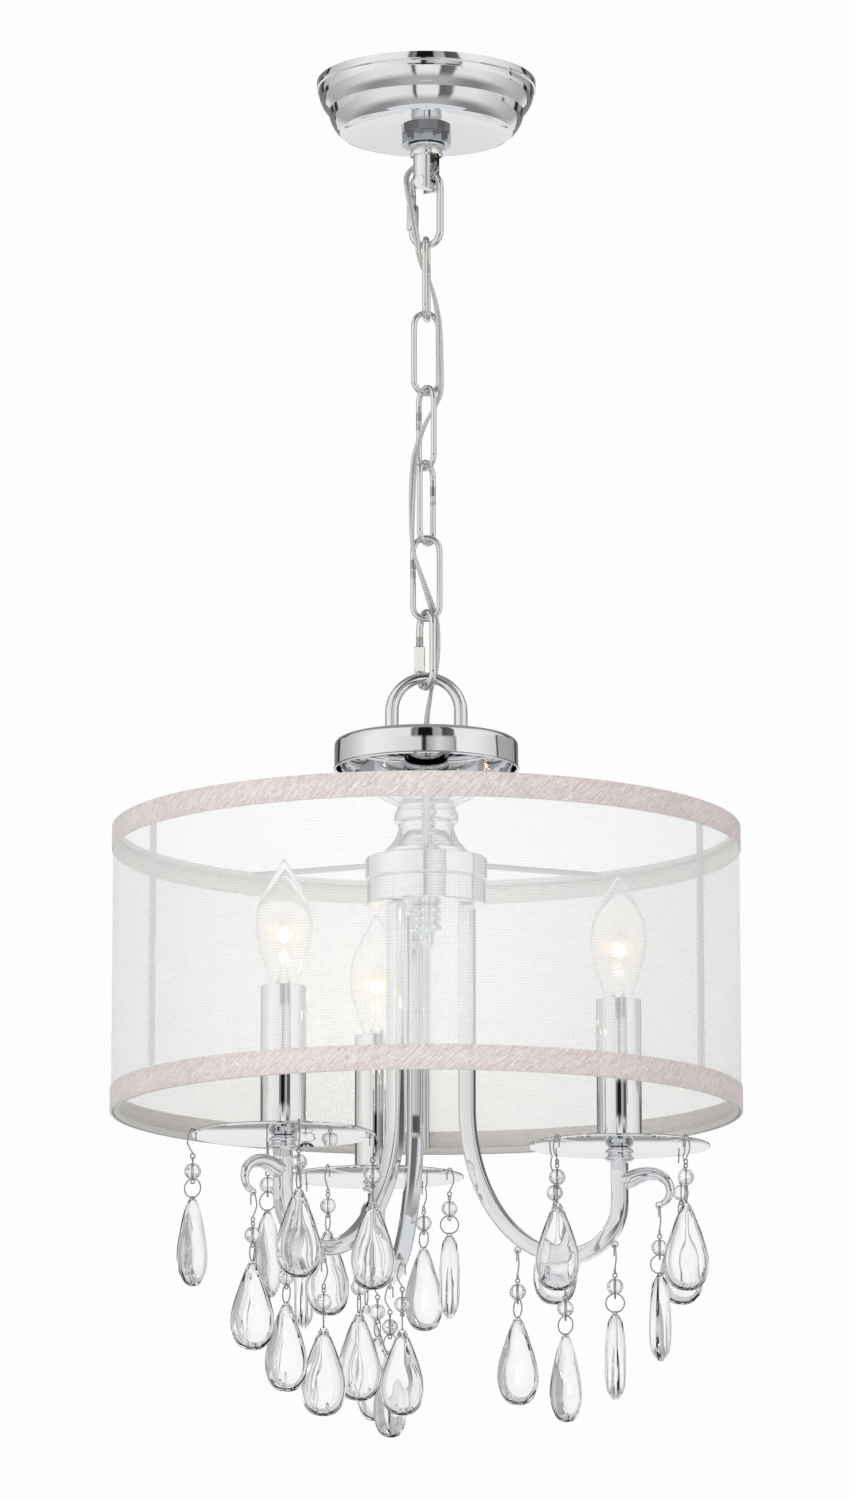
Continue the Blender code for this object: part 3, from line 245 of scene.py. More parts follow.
HIGH_FLAGS = (
    (-180, 0.4), (-160, 0.26), (-136, 0.2), (-133, 0.02), (-129, 0.02), (-126, 0.6), (-100, 0.75), (-70, 1.0),
    (-21, 0.92), (-18, 0.14), (-12, 0.3), (-10, 0.01), (7, 0.01), (9, 0.42), (19, 0.5), (21, 0.08),
    (35, 0.14), (37, 0.95), (60, 1.0), (90, 0.9), (124, 0.6), (128, 0.02), (133, 0.02), (136, 0.2),
    (160, 0.26), (180, 0.4))
LOW_FLAGS = (
    (-180, 0.97), (-150, 0.92), (-136, 0.5), (-118, 0.55), (-90, 0.74), (-60, 0.95), (-30, 0.95), (-17, 0.9),
    (-15, 0.15), (-12, 0.15), (-11, 1.0), (14, 1.0), (16, 0.15), (30, 0.2), (34, 0.95), (60, 0.95),
    (90, 0.74), (118, 0.55), (136, 0.5), (150, 0.92), (180, 0.97))
STEEP_FLAGS = (
    (-180, 0.95), (-152, 0.92), (-128, 0.3), (-60, 0.35), (-30, 0.5), (30, 0.5), (60, 0.3), (128, 0.25),
    (152, 0.92), (180, 0.95))
GLASS_FLAGS = (
    (-180, 0.98), (-164, 0.94), (-148, 0.8), (-130, 0.55), (-108, 0.2), (-80, 0.22), (-55, 0.7), (-20, 0.95),
    (20, 0.98), (50, 0.8), (75, 0.35), (108, 0.22), (130, 0.55), (148, 0.84), (164, 0.95), (180, 0.98))
GLASS_HEIGHTS = ((0.0, 0.3), (0.15, 0.35), (0.32, 0.9), (0.4, 1.0), (0.62, 1.0), (0.72, 0.92), (0.86, 0.45),
                 (1.0, 0.25))
HIGH_BANDS = ((0.476, 0.0), (0.486, 1.0), (0.545, 1.0), (0.555, 0.0), (0.66, 0.0), (0.67, 1.0))
STEEP_BAND = ((0.14, 1.0), (0.27, 0.0))
BELOW_BAND = ((0.456, 1.0), (0.472, 0.0))
FLOOR_BAND = ((0.02, 1.0), (0.05, 0.0))
CEILING_BAND = ((0.84, 0.0), (0.92, 1.0))


# Node sheets


class Sheet:
    """A node tree with short calls for adding and filling nodes."""

    def __init__(self, tree):
        self.tree = tree

    def feed(self, socket, value):
        """Set a socket to a value, or link another node's socket to it."""
        if isinstance(value, bpy.types.NodeSocket):
            self.tree.links.new(value, socket)
        elif socket.type == "RGBA":
            socket.default_value = (*value, 1.0)
        else:
            socket.default_value = value

    def fill(self, node, inputs):
        for name, value in inputs.items():
            self.feed(node.inputs[name], value)

    def add(self, kind, inputs=None, **settings):
        """A node with its settings and its inputs."""
        node = self.tree.nodes.new(kind)
        for key, value in settings.items():
            setattr(node, key, value)
        self.fill(node, inputs or {})
        return node

    def math(self, operation, *values):
        return self.add("ShaderNodeMath", dict(enumerate(values)), operation=operation).outputs[0]

    def mix(self, share, first, second):
        """A colour between two others."""
        inputs = {"Factor": share, "A": first, "B": second}
        return self.add("ShaderNodeMix", inputs, data_type="RGBA").outputs["Result"]

    def split(self, vector):
        return self.add("ShaderNodeSeparateXYZ", {0: vector}).outputs

    def place(self):
        """The place on the piece, in metres."""
        return self.add("ShaderNodeTexCoord").outputs["Object"]

    def noise(self, vector, scale, detail=2.0, roughness=0.5):
        inputs = {"Vector": vector, "Scale": scale, "Detail": detail, "Roughness": roughness}
        return self.add("ShaderNodeTexNoise", inputs).outputs["Fac"]

    def stretched(self, vector, scale, turn=0.0):
        """A vector scaled unevenly, and turned about Z first."""
        inputs = {"Vector": vector, "Rotation": (0.0, 0.0, turn), "Scale": scale}
        return self.add("ShaderNodeMapping", inputs).outputs[0]

    def ramp(self, source, stops):
        """Greys along a value, from pairs of position and grey."""
        node = self.add("ShaderNodeValToRGB", {0: source})
        elements = node.color_ramp.elements
        while len(elements) > 1:
            elements.remove(elements[-1])
        elements[0].position = stops[0][0]
        elements[0].color = (*[stops[0][1]] * 3, 1.0)
        for position, grey in stops[1:]:
            elements.new(position).color = (*[grey] * 3, 1.0)
        return node.outputs[0]

    def bump(self, shader, height, strength, distance):
        """Relief on a shader, from a height."""
        node = self.add("ShaderNodeBump", {"Height": height, "Strength": strength, "Distance": distance})
        self.feed(shader.inputs["Normal"], node.outputs[0])


# The camera and the studio


def make_camera():
    """The photograph's viewing angle, from below the shade."""
    bpy.ops.object.camera_add(location=(-0.00108, -3.8005, SHADE_TOP - 0.6878),
                              rotation=(math.radians(90) + 0.191, 0.0, 0.0))
    camera = bpy.context.active_object
    camera.data.sensor_width = 36.0
    camera.data.lens = 158.126
    camera.data.clip_end = 60.0
    bpy.context.scene.camera = camera


def metal_surroundings(sheet, around_share, height):
    """What polished metal reflects: flags by heading, other ones at each height."""
    level, high, low, steep = (
        sheet.ramp(around_share, [(angle / 360 + 0.5, grey) for angle, grey in flags])
        for flags in (LEVEL_FLAGS, HIGH_FLAGS, LOW_FLAGS, STEEP_FLAGS))
    above = sheet.mix(sheet.ramp(height, HIGH_BANDS), level, high)
    above = sheet.mix(above, BLACK, METAL_WHITE_ABOVE)
    below = sheet.mix(sheet.ramp(height, STEEP_BAND), low, steep)
    below = sheet.mix(below, BLACK, METAL_WHITE_BELOW)
    view = sheet.mix(sheet.ramp(height, BELOW_BAND), above, below)
    view = sheet.mix(sheet.ramp(height, FLOOR_BAND), view, METAL_FLOOR)
    return sheet.mix(sheet.ramp(height, CEILING_BAND), view, METAL_CEILING)


def glass_surroundings(sheet, around_share, height):
    """What shows through glass: darker at the sides, above and below."""
    by_heading = sheet.ramp(around_share, [(angle / 360 + 0.5, grey) for angle, grey in GLASS_FLAGS])
    share = sheet.math("MULTIPLY", by_heading, sheet.ramp(height, GLASS_HEIGHTS))
    return sheet.mix(share, GLASS_DARK, GLASS_WHITE)


def make_world():
    """A white studio, with dark flags that draw the metal's edges and paler ones for the glass."""
    world = bpy.data.worlds.new("studio")
    bpy.context.scene.world = world
    world.use_nodes = True
    world.node_tree.nodes.clear()
    sheet = Sheet(world.node_tree)
    x, y, z = sheet.split(sheet.add("ShaderNodeTexCoord").outputs["Generated"])
    back = sheet.math("MULTIPLY", y, -1.0)
    around_share = sheet.math("MULTIPLY_ADD", sheet.math("ARCTAN2", x, back), 1 / math.tau, 0.5)
    height = sheet.math("MULTIPLY_ADD", z, 0.5, 0.5)
    key_side = sheet.math("MAXIMUM", sheet.math("MULTIPLY_ADD", x, -0.3, back), 0.0)
    soft_strength = sheet.math("MULTIPLY_ADD", key_side, 0.66, 0.70)
    ray = sheet.add("ShaderNodeLightPath")

    def light(colour, strength=1.0):
        return sheet.add("ShaderNodeBackground", {"Color": colour, "Strength": strength}).outputs[0]

    def where(test, otherwise, then):
        inputs = dict(enumerate((ray.outputs[test], otherwise, then)))
        return sheet.add("ShaderNodeMixShader", inputs).outputs[0]

    seen = where("Is Transmission Ray", light(metal_surroundings(sheet, around_share, height)),
                 light(glass_surroundings(sheet, around_share, height)))
    seen = where("Is Diffuse Ray", seen, light(WHITE, soft_strength))
    seen = where("Is Camera Ray", seen, light(BACKDROP))
    sheet.add("ShaderNodeOutputWorld", {"Surface": seen})


def make_studio():
    """The floor far below and the soft lights."""
    bpy.ops.mesh.primitive_circle_add(vertices=96, radius=1.3, fill_type="NGON", location=(0.0, 0.0, -2.3))
    floor = bpy.context.active_object
    floor.name = "floor"
    look, *_ = new_look("pale_floor", {"Base Color": FLOOR_COLOUR, "Roughness": 0.9})
    floor.data.materials.append(look)
    target = Vector((0.0, 0.0, -0.5))
    for place, size, power in (((-2.2, -2.6, 0.4), 1.6, 12.0), ((2.6, -2.0, -0.2), 1.2, 6.0)):
        bpy.ops.object.light_add(type="AREA", location=place)
        lamp = bpy.context.active_object
        lamp.data.size = size
        lamp.data.energy = power
        lamp.visible_glossy = False
        lamp.rotation_euler = (target - lamp.location).to_track_quat("-Z", "Y").to_euler()
    bpy.context.scene.view_settings.view_transform = "Standard"


# Node groups and finishes


def new_group(name, inputs, outputs):
    """An empty shader node group over a vector, with named values in and out."""
    group = bpy.data.node_groups.new(name, "ShaderNodeTree")
    group.interface.new_socket("Vector", in_out="INPUT", socket_type="NodeSocketVector")
    for label, value in inputs.items():
        socket = group.interface.new_socket(label, in_out="INPUT", socket_type="NodeSocketFloat")
        socket.default_value = value
    for label in outputs:
        group.interface.new_socket(label, in_out="OUTPUT", socket_type="NodeSocketFloat")
    sheet = Sheet(group)
    return group, sheet, sheet.add("NodeGroupInput").outputs, sheet.add("NodeGroupOutput")


def handling_group():
    """Faint smears and hairline scratches left by handling."""
    group, sheet, given, out = new_group("handling", {"Base": 0.04, "Smear": 0.05, "Scratch": 0.03},
                                         ("Roughness", "Height"))
    cloud = sheet.math("POWER", sheet.noise(given["Vector"], 55.0, 4.0, 0.6), 3.0)
    hair = sheet.noise(sheet.stretched(given["Vector"], (900.0, 60.0, 900.0), 0.6), 1.0, 2.0)
    rough = sheet.math("MULTIPLY_ADD", cloud, given["Smear"], given["Base"])
    rough = sheet.math("MULTIPLY_ADD", sheet.math("GREATER_THAN", hair, 0.66), given["Scratch"], rough)
    sheet.fill(out, {"Roughness": rough, "Height": hair})
    return group


def weave_group():
    """Crossing threads with thicker slubs along one way, over a map in metres."""
    group, sheet, given, out = new_group(
        "woven", {"Threads": 3200.0, "Turn": 0.0, "Slub": 0.5, "Along": 1.0, "Across": 1.0},
        ("Thread", "Slub", "Cloud"))
    vector = sheet.add("ShaderNodeVectorRotate", {"Vector": given["Vector"], "Angle": given["Turn"]},
                       rotation_type="Z_AXIS").outputs[0]
    x, y, _ = sheet.split(vector)
    waves = [sheet.math("MULTIPLY_ADD", sheet.math("SINE", sheet.math("MULTIPLY", way, given["Threads"])),
                        0.25, 0.25) for way in (x, y)]
    slubs = sheet.add("ShaderNodeCombineXYZ", {"X": sheet.math("MULTIPLY", x, given["Along"]),
                                               "Y": sheet.math("MULTIPLY", y, given["Across"])}).outputs[0]
    long_noise = sheet.noise(sheet.stretched(slubs, (38.0, 1300.0, 1.0)), 1.0, 3.0, 0.7)
    short_noise = sheet.noise(sheet.stretched(slubs, (160.0, 2600.0, 1.0)), 1.0, 2.0)
    slub = sheet.math("MULTIPLY_ADD", short_noise, 0.45, sheet.math("MULTIPLY", long_noise, 0.6))
    lifted = sheet.math("SUBTRACT", slub, 0.525)
    strong = sheet.math("MULTIPLY", lifted, given["Slub"])
    sheet.fill(out, {"Thread": sheet.math("ADD", *waves), "Slub": strong,
                     "Cloud": sheet.noise(vector, 14.0, 3.0)})
    return group


def lamplight_group():
    """One at a height, fading to nothing above and below it."""
    group, sheet, given, out = new_group("lamplight", {"Height": 0.0, "Reach": 0.01}, ("Share",))
    away = sheet.math("SUBTRACT", sheet.split(given["Vector"])["Z"], given["Height"])
    away = sheet.math("DIVIDE", away, given["Reach"])
    falling = sheet.math("MULTIPLY", sheet.math("MULTIPLY", away, away), -1.0)
    sheet.fill(out, {"Share": sheet.math("EXPONENT", falling)})
    return group


HANDLING = handling_group()
WOVEN = weave_group()
LAMPLIGHT = lamplight_group()


def new_look(name, sockets):
    """A material with its shader's sockets set, and its sheet of nodes."""
    look = bpy.data.materials.new(name)
    look.use_nodes = True
    shader = look.node_tree.nodes["Principled BSDF"]
    sheet = Sheet(look.node_tree)
    sheet.fill(shader, sockets)
    return look, shader, sheet


def metal(name, colour, base, smear, scratch, depth=0.0):
    """A metal with handling marks in its gloss."""
    look, shader, sheet = new_look(name, {"Base Color": colour, "Metallic": 1.0})
    marks = sheet.add("ShaderNodeGroup", node_tree=HANDLING)
    sheet.fill(marks, {"Vector": sheet.place(), "Base": base, "Smear": smear, "Scratch": scratch})
    sheet.fill(shader, {"Roughness": marks.outputs["Roughness"]})
    if depth:
        sheet.bump(shader, marks.outputs["Height"], 0.25, depth)
    return look


def cloth(name, colours, threads, turn, slub, spacing=(1.0, 1.0), alpha=None, depth=0.0002, painted_glow=0.0):
    """A woven cloth over its own map in metres, from its darker tone to its lighter one by its slubs and
    clouding, with a painted glow of lamplight where given.
    """
    look, shader, sheet = new_look(name, {"Roughness": 0.75, "Sheen Weight": 0.35, "Sheen Roughness": 0.4})
    where = sheet.add("ShaderNodeUVMap", uv_map="cloth").outputs[0]
    weave = sheet.add("ShaderNodeGroup", node_tree=WOVEN)
    sheet.fill(weave, {"Vector": where, "Threads": threads, "Turn": turn, "Slub": slub, "Along": spacing[0],
                       "Across": spacing[1]})
    thread, slubs, cloud = weave.outputs
    tone = sheet.math("MULTIPLY_ADD", cloud, 0.5, sheet.math("MULTIPLY_ADD", slubs, 1.6, 0.25))
    colour = sheet.mix(tone, *colours)
    sheet.fill(shader, {"Base Color": colour})
    sheet.bump(shader, sheet.math("MULTIPLY_ADD", slubs, 2.0, thread), 0.5, depth)
    # Painted glow: the cloth emits its own colour, standing in for the bulbs' light shining through it.
    if painted_glow:
        sheet.fill(shader, {"Emission Color": colour, "Emission Strength": painted_glow})
    if alpha:
        base, by_slub, by_thread = alpha
        cover = sheet.math("MULTIPLY_ADD", slubs, by_slub, base)
        sheet.fill(shader, {"Alpha": sheet.math("MULTIPLY_ADD", thread, by_thread, cover)})
    return look


def crystal_look():
    """Clear glass with a faint unevenness in its polish."""
    look, shader, sheet = new_look("cut_crystal", {"Base Color": WHITE, "Roughness": 0.0, "IOR": 1.56,
                                                   "Transmission Weight": 1.0})
    sheet.bump(shader, sheet.noise(sheet.place(), 120.0, 1.0), 0.06, 0.0004)
    return look


def near_filament(sheet, reach):
    light = sheet.add("ShaderNodeGroup", node_tree=LAMPLIGHT)
    sheet.fill(light, {"Vector": sheet.place(), "Height": HOT_HEIGHT, "Reach": reach})
    return light.outputs["Share"]


def bulb_look():
    """Clear glass that catches the filament's light, most at its height."""
    look, shader, sheet = new_look("bulb_glass", {"Roughness": 0.02, "IOR": 1.42, "Transmission Weight": 1.0,
                                                  "Emission Strength": 0.03})
    near = near_filament(sheet, 0.02)
    sheet.fill(shader, {"Base Color": sheet.mix(near, WHITE, (1.0, 0.972, 0.943)),
                        "Emission Color": sheet.mix(near, (0.6, 0.6, 0.6), (1.0, 0.84, 0.66))})
    return look


def filament_look():
    """The lit filament, a little uneven along its coil."""
    look, shader, sheet = new_look("hot_filament", {"Base Color": (0.3, 0.2, 0.1), "Roughness": 0.6,
                                                    "Emission Strength": 14.0})
    uneven = sheet.noise(sheet.place(), 900.0, 1.0)
    sheet.fill(shader, {"Emission Color": sheet.mix(uneven, (0.8, 0.624, 0.4), (1.0, 0.78, 0.5))})
    return look


def haze(name, colour, reach, strength, cover):
    """The light hanging round the filament, fading with height above and below it."""
    look, shader, sheet = new_look(name, {"Base Color": (0.05, 0.035, 0.02), "Roughness": 1.0,
                                          "Specular IOR Level": 0.0, "Emission Strength": strength})
    near = near_filament(sheet, reach)
    sheet.fill(shader, {"Emission Color": sheet.mix(near, BLACK, colour),
                        "Alpha": sheet.math("MULTIPLY", near, cover)})
    return look


def socket_look():
    """Moulded plastic with a fine grain."""
    look, shader, sheet = new_look("socket_plastic", {"Base Color": (0.78, 0.77, 0.74), "Roughness": 0.45})
    sheet.bump(shader, sheet.noise(sheet.place(), 1400.0, 3.0), 0.2, 0.0001)
    return look


def cord_look():
    """Clear sleeve over silver braid, its strands winding round."""
    look, shader, sheet = new_look("silver_cord", {"Metallic": 0.6, "Roughness": 0.3, "Coat Weight": 0.8,
                                                   "Coat Roughness": 0.08})
    turn, along, _ = sheet.split(sheet.add("ShaderNodeUVMap", uv_map="cord").outputs[0])
    winding = sheet.math("MULTIPLY_ADD", along, 4200.0, sheet.math("MULTIPLY", turn, 12.566))
    strand = sheet.math("MULTIPLY_ADD", sheet.math("SINE", winding), 0.5, 0.5)
    sheet.fill(shader, {"Base Color": sheet.mix(strand, (0.42, 0.42, 0.41), (0.86, 0.86, 0.84))})
    sheet.bump(shader, strand, 0.4, 0.0001)
    return look


CHROME = metal("polished_chrome", (0.82, 0.825, 0.835), 0.025, 0.05, 0.02)
WIRE_CHROME = metal("drawn_chrome_wire", (0.62, 0.62, 0.63), 0.12, 0.08, 0.05)
LINK_CHROME = metal("chain_plate", (0.80, 0.80, 0.79), 0.04, 0.05, 0.04)
HOOK_CHROME = metal("hook_wire", (0.40, 0.40, 0.40), 0.15, 0.05, 0.04)
SATIN = metal("satin_nickel", (0.48, 0.49, 0.50), 0.1, 0.1, 0.05)
ZINC = metal("zinc_plate", (0.55, 0.55, 0.54), 0.35, 0.2, 0.1, depth=0.0001)
BRASS = metal("plain_brass", (0.52, 0.36, 0.2), 0.3, 0.2, 0.1, depth=0.0001)
# The veil's small emission is a painted glow for the lit bulbs shining through the shade.
ORGANZA = cloth("sheer_organza", ((0.80, 0.82, 0.82), (0.91, 0.925, 0.925)), 3800.0, 0.0, 0.5,
                alpha=(0.29, 0.4, 0.08), painted_glow=0.03)
SILK = cloth("slub_silk", ((0.50, 0.43, 0.425), (0.82, 0.745, 0.73)), 5200.0, -0.75, 2.1, (3.0, 0.55),
             depth=0.0004)
LINING = cloth("silk_lining", ((0.54, 0.53, 0.515), (0.70, 0.69, 0.675)), 5200.0, 0.0, 1.6, (3.0, 1.0))
CRYSTAL = crystal_look()
FILAMENT = filament_look()
PORCELAIN = socket_look()
BULB_GLASS = bulb_look()
CORE = haze("hot_core", (1.0, 0.9, 0.74), 0.0032, 1.5, 0.5)
GLOW = haze("warm_glow", (1.0, 0.82, 0.62), 0.008, 1.2, 0.28)
CORD_LOOK = cord_look()


# Modelling with operators


def clear_selection():
    bpy.ops.object.select_all(action="DESELECT")


def pick(*items):
    """Select these objects, the first one active."""
    clear_selection()
    for item in items:
        item.select_set(True)
    bpy.context.view_layer.objects.active = items[0]


def mark_all():
    bpy.ops.mesh.select_all(action="SELECT")


def edit(item):
    pick(item)
    bpy.ops.object.mode_set(mode="EDIT")
    mark_all()


def leave():
    bpy.ops.object.mode_set(mode="OBJECT")


def named(name):
    """The newest object, with its mesh, under this name."""
    item = bpy.context.active_object
    item.name = name
    item.data.name = name
    return item


def begin(name):
    """A new mesh in edit mode, with one vertex at the origin."""
    clear_selection()
    bpy.ops.mesh.primitive_plane_add(size=SPECK)
    item = named(name)
    bpy.ops.object.mode_set(mode="EDIT")
    mark_all()
    bpy.ops.mesh.merge(type="CENTER")
    return item


def push(value):
    bpy.ops.mesh.extrude_region_move(TRANSFORM_OT_translate={"value": value})


def trace(points):
    """Draw the one vertex out along the points."""
    places = [Vector(point) for point in points]
    bpy.ops.transform.translate(value=places[0])
    for before, place in zip(places, places[1:]):
        push(place - before)


def filled_slab(name, outline, thickness):
    """An outline closed with a face and pushed out to a thickness along Y, left in edit mode."""
    item = begin(name)
    trace(outline)
    mark_all()
    bpy.ops.mesh.edge_face_add()
    push((0.0, thickness, 0.0))
    return item


def welded_outwards():
    """Merge doubled points and turn the faces outwards."""
    mark_all()
    bpy.ops.mesh.remove_doubles(threshold=WELD)
    bpy.ops.mesh.normals_make_consistent(inside=False)
    leave()


def use_modifier(item, kind, **settings):
    """Add a modifier, set it and apply it."""
    pick(item)
    bpy.ops.object.modifier_add(type=kind)
    modifier = item.modifiers[-1]
    for key, value in settings.items():
        setattr(modifier, key, value)
    bpy.ops.object.modifier_apply(modifier=modifier.name)
    return item


def soften(item, width, segments=3, angle=28.0):
    """Round the sharp edges."""
    return use_modifier(item, "BEVEL", width=width, segments=segments, limit_method="ANGLE",
                        angle_limit=math.radians(angle), miter_outer="MITER_ARC")


def smooth(item, angle=30.0):
    pick(item)
    bpy.ops.object.shade_smooth_by_angle(angle=math.radians(angle))
    return item


def turned(name, outline, steps=TURN_STEPS, ring=False, rounding=0.0, angle=30.0):
    """Spin an outline of radius and height round the lamp's axis."""
    item = begin(name)
    points = [(radius, 0.0, height) for radius, height in outline]
    trace(points + points[:1] if ring else points)
    mark_all()
    bpy.ops.mesh.remove_doubles(threshold=WELD)
    bpy.ops.mesh.spin(steps=steps, angle=math.tau, center=(0.0, 0.0, 0.0), axis=(0.0, 0.0, 1.0))
    welded_outwards()
    if rounding:
        soften(item, rounding)
    return smooth(item, angle)


def shelled(item, wall, rounding):
    """Give a turned skin its wall inwards, and ease its edges."""
    use_modifier(item, "SOLIDIFY", thickness=wall, offset=-1.0)
    return soften(item, rounding, 2, 40.0)


def eased(points, per=6):
    """More points on a smooth curve through the ones given."""
    places = [Vector(point) for point in points]
    ends = [places[0] * 2 - places[1]] + places + [places[-1] * 2 - places[-2]]
    made = []
    for a, b, c, d in zip(ends, ends[1:], ends[2:], ends[3:]):
        for step in range(per):
            t = step / per
            made.append(((b * 2) + (c - a) * t + (a * 2 - b * 5 + c * 4 - d) * t * t
                         + (b * 3 - a - c * 3 + d) * t ** 3) / 2)
    made.append(places[-1])
    return [tuple(place) for place in made]


def wire(name, points, radius, closed=False, shares=None, detail=5):
    """A round wire along the points, thinned by shares of its radius."""
    clear_selection()
    bpy.ops.curve.primitive_nurbs_path_add()
    item = bpy.context.active_object
    item.name = name
    curve = item.data
    curve.splines.clear()
    line = curve.splines.new("POLY")
    line.points.add(len(points) - 1)
    for index, (knot, point) in enumerate(zip(line.points, points)):
        knot.co = (*point, 1.0)
        knot.radius = shares[index] if shares else 1.0
    line.use_cyclic_u = closed
    curve.dimensions = "3D"
    curve.twist_mode = "MINIMUM"
    curve.bevel_depth = radius
    curve.bevel_resolution = detail
    curve.use_fill_caps = not closed
    pick(item)
    bpy.ops.object.convert(target="MESH")
    item = named(name)
    edit(item)
    welded_outwards()
    return smooth(item, 40.0)


def placed(item, place=(0.0, 0.0, 0.0), heading=0.0, scale=(1.0, 1.0, 1.0), lay=None):
    """Put an object's place, turn and size into its mesh, first laid over about an axis if that is given."""
    matrix = Matrix.Translation(place) @ Matrix.Rotation(math.radians(heading), 4, "Z")
    if lay:
        matrix = matrix @ Matrix.Rotation(math.radians(90), 4, lay)
    item.data.transform(matrix @ Matrix.Diagonal((*scale, 1.0)))
    item.data.update()
    return item


def copied(item, name):
    """A copy with its own mesh."""
    pick(item)
    bpy.ops.object.duplicate()
    return named(name)


def cylinder(name, radius, low, high, place=(0.0, 0.0), sides=SMALL_STEPS):
    """An upright rod between two heights."""
    clear_selection()
    bpy.ops.mesh.primitive_cylinder_add(vertices=sides, radius=radius, depth=high - low,
                                        location=(*place, (low + high) / 2))
    bpy.ops.object.transform_apply(location=True, rotation=True, scale=True)
    return named(name)


def block(name, size, centre):
    clear_selection()
    bpy.ops.mesh.primitive_cube_add(size=1.0, location=centre)
    bpy.context.active_object.scale = size
    bpy.ops.object.transform_apply(location=True, rotation=True, scale=True)
    return named(name)


def ball(name, radius, segments, rings):
    clear_selection()
    bpy.ops.mesh.primitive_uv_sphere_add(segments=segments, ring_count=rings, radius=radius)
    return named(name)


def cut(item, *cutters, operation="DIFFERENCE"):
    """Take the cutters out of a piece, or keep what it shares with them."""
    for cutter in cutters:
        use_modifier(item, "BOOLEAN", object=cutter, operation=operation, solver="EXACT")
        bpy.data.objects.remove(cutter, do_unlink=True)
    return item


def together(name, *items):
    """Join pieces into one object."""
    pick(*items)
    bpy.ops.object.join()
    return named(name)


def drop_patterns(*patterns):
    for pattern in patterns:
        bpy.data.objects.remove(pattern, do_unlink=True)


def dressed(item, look):
    """Give a finished piece its material."""
    item.data.materials.clear()
    item.data.materials.append(look)
    return item


def fitted(item, look, node, stands=True):
    """Dress a finished piece and give it the body of its node, which it stands for."""
    dressed(item, look)
    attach(item, BODY_OF[node])
    if stands:
        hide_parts(node)
    return item


def around(radius, degrees):
    angle = math.radians(degrees)
    return radius * math.cos(angle), radius * math.sin(angle)


def bulged(height, tall, radius, tuck):
    """One rounded ring of an outline, downwards: its tuck, its swell and its tuck again."""
    return eased([(radius - tuck, height - 0.0006), (radius, height - 0.0015),
                  (radius, height - tall + 0.0014), (radius - tuck, height - tall + 0.0005)], 3)


# The ceiling end


def make_canopy():
    """The stepped canopy with its dished underside."""
    upper_tier = [(0.0645, -0.0051), (0.0643, -0.0078), (0.0634, -0.0112), (0.0617, -0.0147),
                  (0.0594, -0.0177)]
    lower_tier = [(0.0586, -0.0187), (0.0581, -0.0206), (0.0572, -0.0236), (0.0557, -0.0266),
                  (0.0538, -0.0292), (0.0523, -0.0307)]
    dish = [(0.0505, -0.0315), (0.0490, -0.0309), (0.0380, -0.0262), (0.0250, -0.0218), (0.0130, -0.0196)]
    outline = [(CANOPY_RADIUS, 0.0), (CANOPY_RADIUS, -CANOPY_BAND), *eased(upper_tier), *eased(lower_tier),
               (0.0518, -0.0312), *eased(dish), (NECK_RADIUS, -0.0200), (NECK_RADIUS, NECK_BOTTOM)]
    canopy = shelled(turned("canopy_shell", outline, CROWN_STEPS), CANOPY_WALL, 0.0003)
    fitted(smooth(canopy, 24.0), CHROME, "canopy")


def make_nut():
    """Two faceted tiers with a seam between them."""
    top = NECK_BOTTOM - GAP
    half = NUT_HEIGHT / 2
    tiers = []
    for index, turn in enumerate((4.0, 15.0)):
        high = top - index * half
        tier = cylinder(f"nut_tier_{index}", NUT_RADIUS, high - half + 0.0003, high - 0.0002, sides=16)
        placed(tier, heading=turn)
        bore = cylinder("nut_bore", NUT_BORE_RADIUS, high - half - 0.002, high + 0.002)
        soften(cut(tier, bore), 0.00022, 2, 40.0)
        tiers.append(smooth(tier, 15.0))
    high, low = top - half + 0.001, top - half - 0.001
    seam = turned("nut_seam", [(NUT_BORE_RADIUS, low), (NUT_SEAM_RADIUS, low), (NUT_SEAM_RADIUS, high),
                               (NUT_BORE_RADIUS, high)], ring=True)
    fitted(together("collar_nut_tiers", *tiers, seam), SATIN, "collar_nut")


def make_loop():
    """The neck, shoulder and slotted eye with its round bar."""
    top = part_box("canopy_loop")[1].z
    shoulder = NECK_BOTTOM - GAP - NUT_HEIGHT - GAP
    seat = shoulder - LOOP_FLANGE_HEIGHT
    eye_top = seat - LOOP_SEAT_HEIGHT
    eye_bottom = eye_top - LOOP_EYE_HEIGHT
    bore = NIPPLE_RADIUS + GAP
    outline = [(bore, top), (LOOP_NECK_RADIUS, top), (LOOP_NECK_RADIUS, shoulder),
               (LOOP_FLANGE_RADIUS, shoulder), (LOOP_FLANGE_RADIUS, shoulder - 0.0012),
               (LOOP_FLANGE_RADIUS - 0.0005, shoulder - 0.0019), (LOOP_FLANGE_RADIUS, shoulder - 0.0026),
               (LOOP_FLANGE_RADIUS, seat), (LOOP_SEAT_RADIUS, seat), (LOOP_SEAT_RADIUS, eye_top),
               (LOOP_EYE_RADIUS, eye_top), (LOOP_EYE_RADIUS, eye_bottom), (0.0, eye_bottom),
               (0.0, eye_top - 0.003), (bore, eye_top - 0.003)]
    body = turned("loop_body", outline, ring=True)
    cut(body, block("loop_slot", (0.03, LOOP_SLOT_WIDTH, 0.024), (0.0, 0.0, eye_top - 0.012)))
    soften(body, 0.0004, 3, 32.0)
    bar = cylinder("loop_bar", LOOP_BAR_RADIUS, -LOOP_EYE_RADIUS, LOOP_EYE_RADIUS)
    placed(bar, (0.0, 0.0, JOINT_OF["quick_link_top"]["pos_m"][2]), lay="X")
    soften(bar, 0.0004, 3)
    loop = smooth(together("loop_casting", body, bar), 30.0)
    fitted(placed(loop, heading=LOOP_HEADING), CHROME, "canopy_loop")


